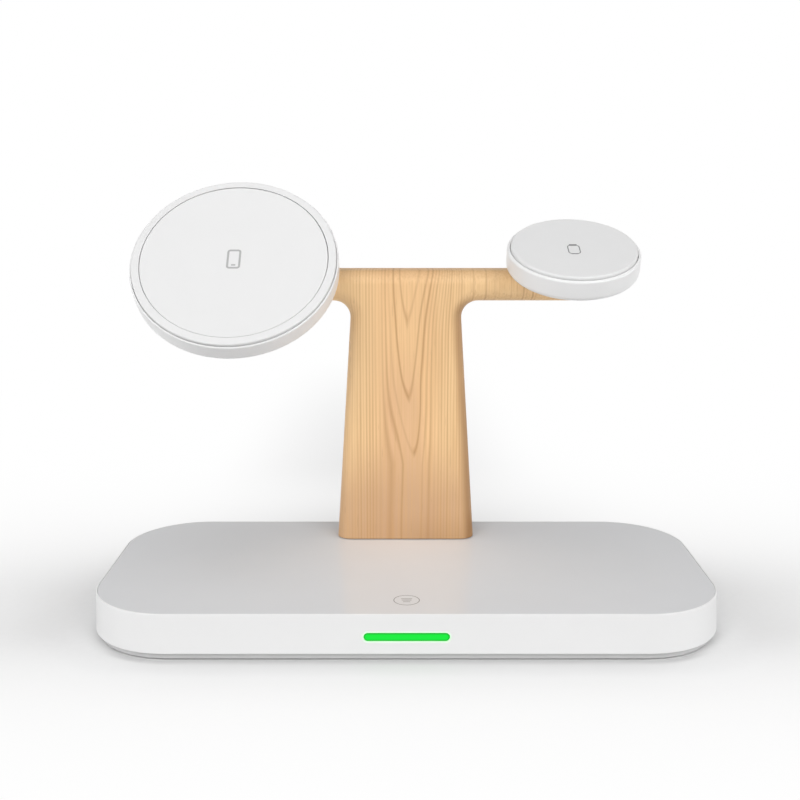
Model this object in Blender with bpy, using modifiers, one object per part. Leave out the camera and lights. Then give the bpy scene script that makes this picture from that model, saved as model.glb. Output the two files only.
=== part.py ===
"""Desk charging stand for a phone, a watch and a pair of earbuds.

A low base holds the electronics. A wooden T-shaped stem stands on it, and a round charging
head hangs in a notch at each end of the cross arm, on a friction hinge that runs along X.
Units are metres, +Z is up, the front is -Y, and the origin is under the middle of the base.
"""
import math

import bmesh
import bpy
from mathutils import Matrix, Vector

for old_object in list(bpy.data.objects):
    bpy.data.objects.remove(old_object, do_unlink=True)

# Clearances and cutting allowances
FIT_GAP = 0.0003
SEAM_GAP = 0.0002
CUT_OVERRUN = 0.0020
JOIN_DEPTH = 0.0006
MERGE_DISTANCE = 0.00001

# Base: white housing, grey top plate and grey bottom cover
BASE_WIDTH = 0.1712
BASE_DEPTH = 0.0783
BASE_CORNER_RADIUS = 0.0227
SIDE_HEIGHT = 0.0108
SIDE_WALL = 0.0020
SIDE_DRAFT = 0.0004
RIM_WIDTH = 0.0004
RIM_EDGE_RADIUS = 0.0003
PLATE_GAP = 0.0001
DECK_THICKNESS = 0.0015
TOP_PLATE_THICKNESS = 0.0012
COVER_REVEAL = 0.0017
COVER_SETBACK = 0.0013
COVER_LIP_HEIGHT = 0.0020
COVER_LIP_WALL = 0.0010
POST_HEIGHT = 0.0013
POST_RADIUS = 0.0020

# Feet and the screws under them
FOOT_PROUD = 0.0005
FOOT_RADIUS = 0.0060
FOOT_RECESS = 0.0009
BOSS_INSET = 0.0080
BOSS_RADIUS = 0.0032
COVER_BOSS_WALL = 0.0022
COVER_BOSS_WEB = 0.0010
SCREW_HEAD_RADIUS = 0.0021
SCREW_HEAD_HEIGHT = 0.0010
SCREW_CROWN_SHARE = 0.70
SCREW_SHANK_RADIUS = 0.0012
COVER_SCREW_LENGTH = 0.0055
STEM_SCREW_LENGTH = 0.0095

# Charging coil for the earbuds, the touch key and the light bar
COIL_KEY_SPACING = 0.0044
COIL_STEM_SPACING = 0.0050
EARBUD_COIL_WINDING = 0.0110
EARBUD_COIL_THICKNESS = 0.0012
FERRITE_MARGIN = 0.0004
EARBUD_FERRITE_THICKNESS = 0.0008
TOUCH_KEY_INSET = 0.0102
TOUCH_SPRING_RADIUS = 0.0026
TOUCH_SPRING_WIRE = 0.0006
TOUCH_SPRING_TURNS = 4
POINTS_PER_TURN = 10
LIGHT_BAR_WIDTH = 0.0223
LIGHT_BAR_HEIGHT = 0.0022
LIGHT_BAR_DROP = 0.0061
LENS_FLANGE_MARGIN = 0.0010
LENS_FLANGE_THICKNESS = 0.0010
LENS_GUIDE_LENGTH = 0.0012
LED_WIDTH = 0.0030
LED_DEPTH = 0.0008
LED_HEIGHT = 0.0030
LED_SPACING = 0.0070
LED_COUNT = 3

# Circuit boards, socket and ballast
BOARD_THICKNESS = 0.0010
MAIN_BOARD_WIDTH = 0.0540
MAIN_BOARD_DEPTH = 0.0300
FRONT_BOARD_WIDTH = 0.0340
FRONT_BOARD_DEPTH = 0.0098
POST_INSET = 0.0030
SOCKET_WIDTH = 0.0090
SOCKET_HEIGHT = 0.0032
SOCKET_LENGTH = 0.0074
SOCKET_WALL = 0.0004
SOCKET_SETBACK = 0.0005
TONGUE_WIDTH = 0.0066
TONGUE_HEIGHT = 0.0008
BALLAST_SPACING = 0.0030
BALLAST_THICKNESS = 0.0040
BALLAST_CORNER_RADIUS = 0.0040
PLUG_WIDTH = 0.0050
PLUG_DEPTH = 0.0040
PLUG_HEIGHT = 0.0026
PLUG_X_INSET = 0.0070
PLUG_Y_INSET = 0.0146

# Stem: front shell with the wire channel, rear cover, inserts
STEM_SETBACK = 0.0067
STEM_SHELL_DEPTH = 0.0095
STEM_COVER_DEPTH = 0.0022
STEM_FOOT_WIDTH = 0.0420
STEM_NECK_WIDTH = 0.0333
ARM_UNDERSIDE_HEIGHT = 0.0737
ARM_HEIGHT = 0.0091
ARM_SPAN = 0.1150
ARM_FILLET_RADIUS = 0.0056
STEM_FRONT_ROUND = 0.0040
STEM_REAR_ROUND = 0.0012
CHANNEL_WIDTH = 0.0088
CHANNEL_HEIGHT = 0.0032
CHANNEL_FRONT_WALL = 0.0025
RIB_DEPTH = 0.0010
INSERT_INSET = 0.0082
INSERT_RADIUS = 0.0024
INSERT_LENGTH = 0.0080
LEAD_RADIUS = 0.0008
LEAD_SPREAD = 0.0018
LEAD_HOLE_RADIUS = 0.0040
LEAD_RISE_SHARES = (0.33, 0.67)

# Friction hinges, the same at both ends of the arm
HINGE_AXIS_DEPTH = 0.0040
HINGE_AXIS_DROP = 0.0037
KNUCKLE_RADIUS = 0.0033
LUG_WIDTH = 0.0070
LUG_FLARE_RADIUS = 0.0016
WASHER_THICKNESS = 0.0005
WASHER_RADIUS = 0.0031
PIN_RADIUS = 0.0015
PIN_BORE_RADIUS = 0.0011
PIN_GAP = 0.00008
PIN_INNER_SEAT = 0.0035
PIN_OUTER_SEAT = 0.0024
PIN_WINDOW = 0.0030
WIRE_WAY_RADIUS = 0.0012
BACK_BOSS_RADIUS = 0.0085
BACK_BOSS_HEIGHT = 0.0010

# Phone head, heights measured from its outer seam towards the phone
PHONE_ARM_INSET = 0.0085
PHONE_TILT = math.radians(47.3)
PHONE_LIFT = 0.0153
PHONE_DROP = 0.0039
PHONE_RADIUS = 0.0298
PHONE_DEPTH = 0.0065
PHONE_SEAM_RADIUS = 0.0292
PHONE_SHOULDER = 0.0006
PHONE_BACK_ROUND = 0.0016
PHONE_BACK_WALL = 0.0018
PHONE_SIDE_WALL = 0.0021
PHONE_RING_INNER_RADIUS = 0.0269
PHONE_RING_RISE = 0.0008
PHONE_RING_CROWN_SHARE = 0.62
PHONE_RING_DEPTH = 0.0020
PHONE_FLANGE_WIDTH = 0.0011
PHONE_FLANGE_THICKNESS = 0.0008
PHONE_PAD_EDGE = 0.0002
PHONE_MAGNET_RADIUS = 0.0254
PHONE_MAGNET_WIDTH = 0.0038
PHONE_MAGNET_THICKNESS = 0.0010
PHONE_COIL_RADIUS = 0.0212
PHONE_COIL_BORE = 0.0100
PHONE_COIL_THICKNESS = 0.0011
PHONE_FERRITE_THICKNESS = 0.0005
PHONE_BOARD_RADIUS = 0.0200

# Watch head, heights measured from its seam towards the watch
WATCH_ARM_INSET = 0.0092
WATCH_TILT = math.radians(23.6)
WATCH_LIFT = 0.0135
WATCH_DROP = 0.0050
WATCH_RADIUS = 0.0192
WATCH_DEPTH = 0.0065
WATCH_SEAM_RADIUS = 0.0184
WATCH_SHOULDER = 0.0007
WATCH_BACK_ROUND = 0.0018
WATCH_BACK_WALL = 0.0018
WATCH_SIDE_WALL = 0.0028
WATCH_FACE_RISE = 0.0010
WATCH_FACE_ROUND = 0.0007
WATCH_FACE_SINK = 0.0013
WATCH_MAGNET_RADIUS = 0.0045
WATCH_COIL_RADIUS = 0.0130
WATCH_COIL_BORE = 0.0062
WATCH_COIL_THICKNESS = 0.0010
WATCH_FERRITE_THICKNESS = 0.0004
WATCH_BOARD_RADIUS = 0.0135

# Facets round each kind of turned piece, and angles in degrees
STEPS_LARGE = 48
STEPS_MEDIUM = 32
STEPS_SMALL = 16
STEPS_TINY = 10
CORNER_STEPS = 7
FILLET_STEPS = 5
ROUND_STEPS = 3
ROUTE_STEPS = 3
SHARP_ANGLE = 30
SHOULDER_START = 75

# Levels, from the floor up
COVER_LOW = FOOT_PROUD
SIDE_LOW = COVER_LOW + COVER_REVEAL
COVER_INSIDE = SIDE_LOW - FIT_GAP
BASE_TOP = SIDE_LOW + SIDE_HEIGHT
PLATE_LOW = BASE_TOP - TOP_PLATE_THICKNESS
DECK_TOP = PLATE_LOW - FIT_GAP
DECK_LOW = DECK_TOP - DECK_THICKNESS
BOARD_LOW = COVER_INSIDE + POST_HEIGHT + FIT_GAP
BOARD_TOP = BOARD_LOW + BOARD_THICKNESS
STEM_LOW = BASE_TOP + FIT_GAP
ARM_LOW = BASE_TOP + ARM_UNDERSIDE_HEIGHT
ARM_TOP = ARM_LOW + ARM_HEIGHT
HINGE_Z = ARM_TOP - HINGE_AXIS_DROP

# Depths, from the front
POCKET_INSET = SIDE_DRAFT + RIM_WIDTH
SIDE_FRONT_INSIDE = SIDE_WALL - BASE_DEPTH / 2
SIDE_REAR_INSIDE = -SIDE_FRONT_INSIDE
LIP_REAR_INSIDE = SIDE_REAR_INSIDE - FIT_GAP - COVER_LIP_WALL
STEM_COVER_Y = BASE_DEPTH / 2 - STEM_SETBACK - STEM_COVER_DEPTH
STEM_SPLIT_Y = STEM_COVER_Y - FIT_GAP
STEM_FRONT_Y = STEM_SPLIT_Y - STEM_SHELL_DEPTH
TOUCH_KEY_Y = TOUCH_KEY_INSET - BASE_DEPTH / 2
EARBUD_COIL_FRONT = TOUCH_KEY_Y + COIL_KEY_SPACING
EARBUD_COIL_REAR = STEM_FRONT_Y - COIL_STEM_SPACING
EARBUD_COIL_Y = (EARBUD_COIL_FRONT + EARBUD_COIL_REAR) / 2
EARBUD_COIL_RADIUS = (EARBUD_COIL_REAR - EARBUD_COIL_FRONT) / 2
CHANNEL_Y = STEM_FRONT_Y + CHANNEL_FRONT_WALL
HINGE_Y = STEM_FRONT_Y + HINGE_AXIS_DEPTH
NOTCH_HALF = LUG_WIDTH / 2 + WASHER_THICKNESS + 2 * FIT_GAP
NOTCH_REACH = KNUCKLE_RADIUS + FIT_GAP
CHANNEL_MIDDLE_Y = (CHANNEL_Y + STEM_SPLIT_Y) / 2

# Places across the stand
INSERT_X = STEM_FOOT_WIDTH / 2 - INSERT_INSET
PHONE_X = PHONE_ARM_INSET - ARM_SPAN / 2
WATCH_X = ARM_SPAN / 2 - WATCH_ARM_INSET
PLUG_X = MAIN_BOARD_WIDTH / 2 - PLUG_X_INSET

parts = bpy.data.collections.new("charging_stand")
cutters = bpy.data.collections.new("cutters")
bpy.context.scene.collection.children.link(parts)
bpy.context.scene.collection.children.link(cutters)


def surface(name, colour, roughness, metallic=0.0):
    """A Principled material in one colour."""
    material = bpy.data.materials.new(name)
    material.use_nodes = True
    shader = material.node_tree.nodes["Principled BSDF"]
    shader.inputs["Base Color"].default_value = (*colour, 1.0)
    shader.inputs["Roughness"].default_value = roughness
    shader.inputs["Metallic"].default_value = metallic
    return material


WHITE_PLASTIC = ((0.85, 0.85, 0.84), 0.35)
GREY_PLATE = ((0.60, 0.60, 0.60), 0.30)
GREY_PLASTIC = ((0.48, 0.48, 0.48), 0.55)
SATIN_WHITE = ((0.83, 0.83, 0.83), 0.45)
RUBBER_GREY = ((0.25, 0.25, 0.25), 0.85)
ASH_WOOD = ((0.78, 0.52, 0.28), 0.50)
BARE_STEEL = ((0.60, 0.60, 0.62), 0.35, 1.0)
BRASS = ((0.80, 0.62, 0.30), 0.35, 1.0)
COPPER = ((0.80, 0.42, 0.24), 0.40, 1.0)
FERRITE = ((0.08, 0.08, 0.09), 0.70)
GREEN_BOARD = ((0.03, 0.22, 0.10), 0.45)
GREEN_LENS = ((0.05, 0.85, 0.12), 0.30)
CLEAR_LED = ((0.90, 0.90, 0.80), 0.25)
WIRE_JACKET = ((0.80, 0.80, 0.80), 0.55)


def place(obj, parent=None, location=(0, 0, 0), turn=(0, 0, 0)):
    """Sets an object's place under its parent."""
    obj.parent = parent
    obj.location = location
    obj.rotation_euler = turn
    return obj


def finish(obj, look):
    """Gives a finished piece its material and smooth shading."""
    obj.data.materials.clear()
    obj.data.materials.append(surface(obj.name, *look))
    if obj.type == "MESH":
        obj.data.shade_smooth()
        obj.data.set_sharp_from_angle(angle=math.radians(SHARP_ANGLE))
    return obj


def mesh_object(name, work):
    """Makes an object in the parts collection from a bmesh."""
    mesh = bpy.data.meshes.new(name)
    work.to_mesh(mesh)
    work.free()
    obj = bpy.data.objects.new(name, mesh)
    parts.objects.link(obj)
    return obj


def arc(centre, radius, start, end, steps):
    """Points along a circular arc, with angles in degrees."""
    points = []
    for step in range(steps + 1):
        angle = math.radians(start + (end - start) * step / steps)
        points.append((centre[0] + radius * math.cos(angle), centre[1] + radius * math.sin(angle)))
    return points


def rounded_rectangle(width, depth, radius, steps=CORNER_STEPS, middle=(0, 0)):
    """Outline of a rectangle with round corners, counter-clockwise."""
    x = width / 2 - radius
    y = depth / 2 - radius
    points = []
    for sign_x, sign_y, start in ((1, 1, 0), (-1, 1, 90), (-1, -1, 180), (1, -1, 270)):
        centre = (middle[0] + sign_x * x, middle[1] + sign_y * y)
        points += arc(centre, radius, start, start + 90, steps)
    return without_repeats(points)


def without_repeats(points):
    """Drops points that lie on the one before them."""
    kept = []
    for point in points:
        if not kept or math.dist(point, kept[-1]) > MERGE_DISTANCE:
            kept.append(point)
    if math.dist(kept[0], kept[-1]) <= MERGE_DISTANCE:
        kept.pop()
    return kept


def base_outline(inset):
    """The base's plan, drawn in by an inset."""
    return rounded_rectangle(BASE_WIDTH - 2 * inset, BASE_DEPTH - 2 * inset, BASE_CORNER_RADIUS - inset)


def flat_solid(name, outline, low, high, stand="Z"):
    """A flat outline with a thickness.

    The outline lies in XY and rises along Z. With stand Y it lies in XZ, from Y low to high,
    and with stand X it lies in YZ, from X low to high.
    """
    curve = bpy.data.curves.new(name + "_outline", "CURVE")
    curve.dimensions = "2D"
    curve.fill_mode = "BOTH"
    curve.extrude = (high - low) / 2
    spline = curve.splines.new("POLY")
    spline.points.add(len(outline) - 1)
    for point, (x, y) in zip(spline.points, outline):
        point.co = (x, y, 0, 1)
    spline.use_cyclic_u = True
    drawn = bpy.data.objects.new(name + "_outline", curve)
    cutters.objects.link(drawn)
    evaluated = drawn.evaluated_get(bpy.context.evaluated_depsgraph_get())
    mesh = bpy.data.meshes.new_from_object(evaluated)
    work = bmesh.new()
    work.from_mesh(mesh)
    bpy.data.meshes.remove(mesh)
    bpy.data.objects.remove(drawn, do_unlink=True)
    bpy.data.curves.remove(curve)
    bmesh.ops.remove_doubles(work, verts=work.verts, dist=MERGE_DISTANCE)
    bmesh.ops.dissolve_limit(work, angle_limit=math.radians(0.05), verts=work.verts, edges=work.edges)
    bmesh.ops.translate(work, verts=work.verts, vec=(0, 0, (low + high) / 2))
    if stand == "X":
        bmesh.ops.transform(work, matrix=Matrix(((0, 0, 1, 0), (1, 0, 0, 0), (0, 1, 0, 0), (0, 0, 0, 1))),
                            verts=work.verts)
    if stand == "Y":
        bmesh.ops.translate(work, verts=work.verts, vec=(0, 0, -(low + high)))
        bmesh.ops.transform(work, matrix=Matrix.Rotation(math.radians(90), 4, "X"), verts=work.verts)
    bmesh.ops.recalc_face_normals(work, faces=work.faces)
    return mesh_object(name, work)


def round_edges(obj, chosen, radius):
    """Rounds the edges whose middle passes a test."""
    weights = obj.data.attributes.new("bevel_weight_edge", "FLOAT", "EDGE")
    for edge in obj.data.edges:
        start, end = [obj.data.vertices[index].co for index in edge.vertices]
        weights.data[edge.index].value = 1.0 if chosen((start + end) / 2) else 0.0
    bevel = obj.modifiers.new("rounding", "BEVEL")
    bevel.width = radius
    bevel.segments = ROUND_STEPS
    bevel.limit_method = "WEIGHT"
    bevel.use_clamp_overlap = False
    return obj


def turned(name, profile, steps):
    """A closed profile of (radius, height) points turned about Z, with no edge along the axis."""
    mesh = bpy.data.meshes.new(name)
    vertices = [(radius, 0, height) for radius, height in profile]
    pairs = [(index, (index + 1) % len(profile)) for index in range(len(profile))]
    edges = [pair for pair in pairs if max(profile[index][0] for index in pair) > MERGE_DISTANCE]
    mesh.from_pydata(vertices, edges, [])
    obj = bpy.data.objects.new(name, mesh)
    parts.objects.link(obj)
    screw = obj.modifiers.new("turning", "SCREW")
    screw.axis = "Z"
    screw.angle = math.radians(360)
    screw.steps = steps
    screw.render_steps = steps
    screw.use_merge_vertices = True
    screw.merge_threshold = MERGE_DISTANCE
    return obj


def disc(name, radius, low, high, steps):
    """A plain round plate."""
    return turned(name, [(0, high), (radius, high), (radius, low), (0, low)], steps)


def ring(name, radius, bore, low, high, steps):
    """A plain flat ring."""
    return turned(name, [(radius, high), (radius, low), (bore, low), (bore, high)], steps)


def rod(name, radius, low, high, middle, steps, along="Z"):
    """A round bar along X, Y or Z between two places on that axis."""
    work = bmesh.new()
    bmesh.ops.create_cone(work, cap_ends=True, segments=steps, radius1=radius, radius2=radius,
                          depth=high - low)
    bmesh.ops.translate(work, verts=work.verts, vec=(0, 0, (low + high) / 2))
    if along == "X":
        bmesh.ops.rotate(work, verts=work.verts, matrix=Matrix.Rotation(math.radians(90), 3, "Y"))
    if along == "Y":
        bmesh.ops.rotate(work, verts=work.verts, matrix=Matrix.Rotation(math.radians(-90), 3, "X"))
    bmesh.ops.translate(work, verts=work.verts, vec=middle)
    return mesh_object(name, work)


def block(name, low, high):
    """A box between two opposite corners."""
    size = [top - bottom for bottom, top in zip(low, high)]
    middle = [(top + bottom) / 2 for bottom, top in zip(low, high)]
    work = bmesh.new()
    bmesh.ops.create_cube(work, size=1)
    bmesh.ops.scale(work, vec=size, verts=work.verts)
    bmesh.ops.translate(work, verts=work.verts, vec=middle)
    return mesh_object(name, work)


def combine(obj, tool, operation):
    """Adds a Boolean with a tool, which goes to the cutters."""
    parts.objects.unlink(tool)
    cutters.objects.link(tool)
    tool.hide_render = True
    tool.display_type = "WIRE"
    boolean = obj.modifiers.new(tool.name, "BOOLEAN")
    boolean.operation = operation
    boolean.object = tool
    boolean.solver = "EXACT"
    return obj


def cut(obj, tool):
    """Takes a tool's shape out of a piece."""
    return combine(obj, tool, "DIFFERENCE")


def join(obj, tool):
    """Makes a tool's shape part of a piece."""
    return combine(obj, tool, "UNION")


def smooth_route(points, steps):
    """Points along a smooth curve through the given ones."""
    points = [Vector(point) for point in points]
    route = []
    for index in range(len(points) - 1):
        before = points[max(index - 1, 0)]
        start = points[index]
        end = points[index + 1]
        after = points[min(index + 2, len(points) - 1)]
        for step in range(steps):
            t = step / steps
            route.append(0.5 * (2 * start + (end - before) * t
                                + (2 * before - 5 * start + 4 * end - after) * t ** 2
                                + (3 * start - before - 3 * end + after) * t ** 3))
    route.append(points[-1])
    return route


def tube(name, route, radius):
    """A round wire along a route."""
    curve = bpy.data.curves.new(name, "CURVE")
    curve.dimensions = "3D"
    curve.bevel_depth = radius
    curve.bevel_resolution = 1
    curve.use_fill_caps = True
    spline = curve.splines.new("POLY")
    spline.points.add(len(route) - 1)
    for point, place_on_route in zip(spline.points, route):
        point.co = (*place_on_route, 1)
    obj = bpy.data.objects.new(name, curve)
    parts.objects.link(obj)
    return obj


def corner_places():
    """Where the four cover screws and feet stand, one in each corner."""
    reach = (BASE_CORNER_RADIUS - BOSS_INSET) * math.sqrt(0.5)
    x = BASE_WIDTH / 2 - BASE_CORNER_RADIUS + reach
    y = BASE_DEPTH / 2 - BASE_CORNER_RADIUS + reach
    return (("front_left", -x, -y), ("front_right", x, -y), ("rear_left", -x, y), ("rear_right", x, y))


def screw_profile(seat, tip):
    """Pan-head screw whose head lies below its seat and whose shank rises to its tip."""
    crown = seat - SCREW_HEAD_HEIGHT
    return [(0, tip), (SCREW_SHANK_RADIUS, tip), (SCREW_SHANK_RADIUS, seat), (SCREW_HEAD_RADIUS, seat),
            (SCREW_HEAD_RADIUS, crown + SCREW_HEAD_HEIGHT / 2),
            (SCREW_HEAD_RADIUS * SCREW_CROWN_SHARE, crown), (0, crown)]


# Heights of the stack over each foot
FOOT_TOP = COVER_LOW + FOOT_RECESS - FIT_GAP
RECESS_TOP = COVER_LOW + FOOT_RECESS
COVER_SCREW_SEAT = RECESS_TOP + FIT_GAP + SCREW_HEAD_HEIGHT
COVER_BOSS_TOP = COVER_SCREW_SEAT + FIT_GAP + COVER_BOSS_WEB
HOUSING_BOSS_LOW = COVER_BOSS_TOP + FIT_GAP
SHANK_HOLE_RADIUS = SCREW_SHANK_RADIUS + FIT_GAP
HEAD_HOLE_RADIUS = SCREW_HEAD_RADIUS + FIT_GAP
COVER_BOSS_RADIUS = HEAD_HOLE_RADIUS + COVER_BOSS_WALL

# The light bar and the socket, through the front and rear walls
LIGHT_BAR_Z = BASE_TOP - LIGHT_BAR_DROP
SOCKET_LOW = BOARD_TOP + FIT_GAP
SOCKET_Z = SOCKET_LOW + SOCKET_HEIGHT / 2
SOCKET_REAR = BASE_DEPTH / 2 - SOCKET_SETBACK
SOCKET_FRONT = SOCKET_REAR - SOCKET_LENGTH

# Boards
MAIN_BOARD_REAR = LIP_REAR_INSIDE - FIT_GAP
MAIN_BOARD_FRONT = MAIN_BOARD_REAR - MAIN_BOARD_DEPTH
PLUG_Y = MAIN_BOARD_FRONT + PLUG_Y_INSET
FRONT_BOARD_FRONT = -LIP_REAR_INSIDE + FIT_GAP
FRONT_BOARD_REAR = FRONT_BOARD_FRONT + FRONT_BOARD_DEPTH
LEAD_HOLE_Y = CHANNEL_MIDDLE_Y

# Chips and inductors on the main board: place across and along it, width, and height in boards
BOARD_PART_SHARES = ((-0.30, 0.20, 0.22, 0.9), (0.26, 0.22, 0.20, 1.6), (0.62, 0.24, 0.14, 0.7),
                     (-0.66, 0.24, 0.18, 1.8), (0.0, 0.12, 0.10, 0.6), (0.50, 0.80, 0.16, 1.8))


def stadium(width, height, middle, steps=CORNER_STEPS):
    """Outline of a slot with round ends."""
    return rounded_rectangle(width, height, height / 2 - MERGE_DISTANCE, steps, middle)


def make_base_housing():
    """White moulded shell: drafted side wall, deck, rim round the top plate and screw bosses."""
    housing = flat_solid("base_housing", base_outline(0), SIDE_LOW, BASE_TOP)
    for vertex in housing.data.vertices:
        if vertex.co.z > SIDE_LOW + MERGE_DISTANCE:
            vertex.co.x *= 1 - 2 * SIDE_DRAFT / BASE_WIDTH
            vertex.co.y *= 1 - 2 * SIDE_DRAFT / BASE_DEPTH
    round_edges(housing, lambda middle: middle.z > BASE_TOP - MERGE_DISTANCE, RIM_EDGE_RADIUS)
    cut(housing, flat_solid("plate_pocket", base_outline(POCKET_INSET), DECK_TOP, BASE_TOP + CUT_OVERRUN))
    cut(housing, flat_solid("inside_of_base", base_outline(SIDE_WALL), SIDE_LOW - CUT_OVERRUN, DECK_LOW))
    for corner, x, y in corner_places():
        boss = rod("boss_" + corner, BOSS_RADIUS, HOUSING_BOSS_LOW, DECK_LOW + JOIN_DEPTH, (x, y, 0),
                   STEPS_SMALL)
        join(housing, boss)
        pilot = rod("pilot_" + corner, SHANK_HOLE_RADIUS, HOUSING_BOSS_LOW - CUT_OVERRUN,
                    DECK_LOW - FIT_GAP, (x, y, 0), STEPS_TINY)
        cut(housing, pilot)
    make_deck_holes(housing, "deck", DECK_LOW, DECK_TOP)
    key_radius = TOUCH_SPRING_RADIUS + TOUCH_SPRING_WIRE + FIT_GAP
    cut(housing, rod("key_hole", key_radius, DECK_LOW - CUT_OVERRUN, DECK_TOP + CUT_OVERRUN,
                     (0, TOUCH_KEY_Y, 0), STEPS_SMALL))
    slot = stadium(LIGHT_BAR_WIDTH + 2 * SEAM_GAP, LIGHT_BAR_HEIGHT + 2 * SEAM_GAP, (0, LIGHT_BAR_Z))
    cut(housing, flat_solid("light_slot", slot, -BASE_DEPTH / 2 - CUT_OVERRUN,
                            SIDE_FRONT_INSIDE + CUT_OVERRUN, "Y"))
    mouth = stadium(SOCKET_WIDTH + 2 * FIT_GAP, SOCKET_HEIGHT + 2 * FIT_GAP, (0, SOCKET_Z))
    cut(housing, flat_solid("socket_mouth", mouth, SIDE_REAR_INSIDE - CUT_OVERRUN,
                            BASE_DEPTH / 2 + CUT_OVERRUN, "Y"))
    finish(housing, WHITE_PLASTIC)


def make_deck_holes(obj, prefix, low, high):
    """Holes for the stem screws and the leads, the same in the deck and in the plate."""
    for side, x in (("left", -INSERT_X), ("right", INSERT_X)):
        cut(obj, rod(prefix + "_screw_hole_" + side, SHANK_HOLE_RADIUS, low - CUT_OVERRUN, high + CUT_OVERRUN,
                     (x, CHANNEL_MIDDLE_Y, 0), STEPS_TINY))
    cut(obj, rod(prefix + "_lead_hole", LEAD_HOLE_RADIUS, low - CUT_OVERRUN, high + CUT_OVERRUN,
                 (0, LEAD_HOLE_Y, 0), STEPS_SMALL))


def make_top_plate():
    """Grey satin plate that lies in the housing's pocket, flush with the rim."""
    plate = flat_solid("top_plate", base_outline(POCKET_INSET + PLATE_GAP), PLATE_LOW, BASE_TOP)
    make_deck_holes(plate, "plate", PLATE_LOW, BASE_TOP)
    finish(plate, GREY_PLATE)


def board_posts(front, rear, half_width):
    """Places of the four posts under a board."""
    return [(x, y) for x in (-half_width + POST_INSET, half_width - POST_INSET)
            for y in (front + POST_INSET, rear - POST_INSET)]


def make_bottom_cover():
    """Grey bottom plate with a lip inside the wall, screw wells over the feet and board posts."""
    cover = flat_solid("bottom_cover", base_outline(COVER_SETBACK), COVER_LOW, COVER_INSIDE)
    lip_outside = SIDE_WALL + FIT_GAP
    lip = flat_solid("cover_lip", base_outline(lip_outside), COVER_INSIDE - JOIN_DEPTH,
                     COVER_INSIDE + COVER_LIP_HEIGHT)
    cut(lip, flat_solid("inside_of_lip", base_outline(lip_outside + COVER_LIP_WALL),
                        COVER_INSIDE - JOIN_DEPTH - CUT_OVERRUN,
                        COVER_INSIDE + COVER_LIP_HEIGHT + CUT_OVERRUN))
    join(cover, lip)
    for corner, x, y in corner_places():
        join(cover, rod("cover_boss_" + corner, COVER_BOSS_RADIUS, COVER_INSIDE - JOIN_DEPTH, COVER_BOSS_TOP,
                        (x, y, 0), STEPS_SMALL))
    places = board_posts(MAIN_BOARD_FRONT, MAIN_BOARD_REAR, MAIN_BOARD_WIDTH / 2)
    places += board_posts(FRONT_BOARD_FRONT, FRONT_BOARD_REAR, FRONT_BOARD_WIDTH / 2)
    for number, (x, y) in enumerate(places):
        join(cover, rod("post_" + str(number), POST_RADIUS, COVER_INSIDE - JOIN_DEPTH,
                        COVER_INSIDE + POST_HEIGHT, (x, y, 0), STEPS_TINY))
    for corner, x, y in corner_places():
        cut(cover, rod("foot_recess_" + corner, FOOT_RADIUS + FIT_GAP, COVER_LOW - CUT_OVERRUN, RECESS_TOP,
                       (x, y, 0), STEPS_MEDIUM))
        cut(cover, rod("head_well_" + corner, HEAD_HOLE_RADIUS, COVER_LOW - CUT_OVERRUN,
                       COVER_SCREW_SEAT + FIT_GAP, (x, y, 0), STEPS_SMALL))
        cut(cover, rod("shank_hole_" + corner, SHANK_HOLE_RADIUS, COVER_LOW, COVER_BOSS_TOP + CUT_OVERRUN,
                       (x, y, 0), STEPS_TINY))
    finish(cover, GREY_PLASTIC)


def make_feet_and_screws():
    """A rubber foot in each corner, with a cover screw hidden above it."""
    for corner, x, y in corner_places():
        foot = disc("foot_" + corner, FOOT_RADIUS, 0, FOOT_TOP, STEPS_MEDIUM)
        finish(place(foot, location=(x, y, 0)), RUBBER_GREY)
        tip = COVER_SCREW_SEAT + COVER_SCREW_LENGTH
        screw = turned("cover_screw_" + corner, screw_profile(COVER_SCREW_SEAT, tip), STEPS_TINY)
        finish(place(screw, location=(x, y, 0)), BARE_STEEL)


def make_ballast():
    """Two steel plates that keep the stand down when a phone is pulled off its magnets."""
    boss_x = max(x for corner, x, y in corner_places())
    inner = MAIN_BOARD_WIDTH / 2 + BALLAST_SPACING
    outer = boss_x - COVER_BOSS_RADIUS - BALLAST_SPACING
    depth = 2 * (LIP_REAR_INSIDE - BALLAST_SPACING)
    low = COVER_INSIDE + FIT_GAP
    for side, way in (("left", -1), ("right", 1)):
        outline = rounded_rectangle(outer - inner, depth, BALLAST_CORNER_RADIUS, ROUND_STEPS,
                                    (way * (inner + outer) / 2, 0))
        finish(flat_solid("ballast_" + side, outline, low, low + BALLAST_THICKNESS), BARE_STEEL)


def make_earbud_coil():
    """Transmitter coil under the middle of the deck, with its ferrite sheet below it."""
    top = DECK_LOW - FIT_GAP
    low = top - EARBUD_COIL_THICKNESS
    bore = EARBUD_COIL_RADIUS - EARBUD_COIL_WINDING
    coil = ring("earbud_coil", EARBUD_COIL_RADIUS, bore, low, top, STEPS_MEDIUM)
    finish(place(coil, location=(0, EARBUD_COIL_Y, 0)), COPPER)
    sheet_top = low - FIT_GAP
    sheet = disc("earbud_ferrite", EARBUD_COIL_RADIUS + FERRITE_MARGIN, sheet_top - EARBUD_FERRITE_THICKNESS,
                 sheet_top, STEPS_MEDIUM)
    finish(place(sheet, location=(0, EARBUD_COIL_Y, 0)), FERRITE)


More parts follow.
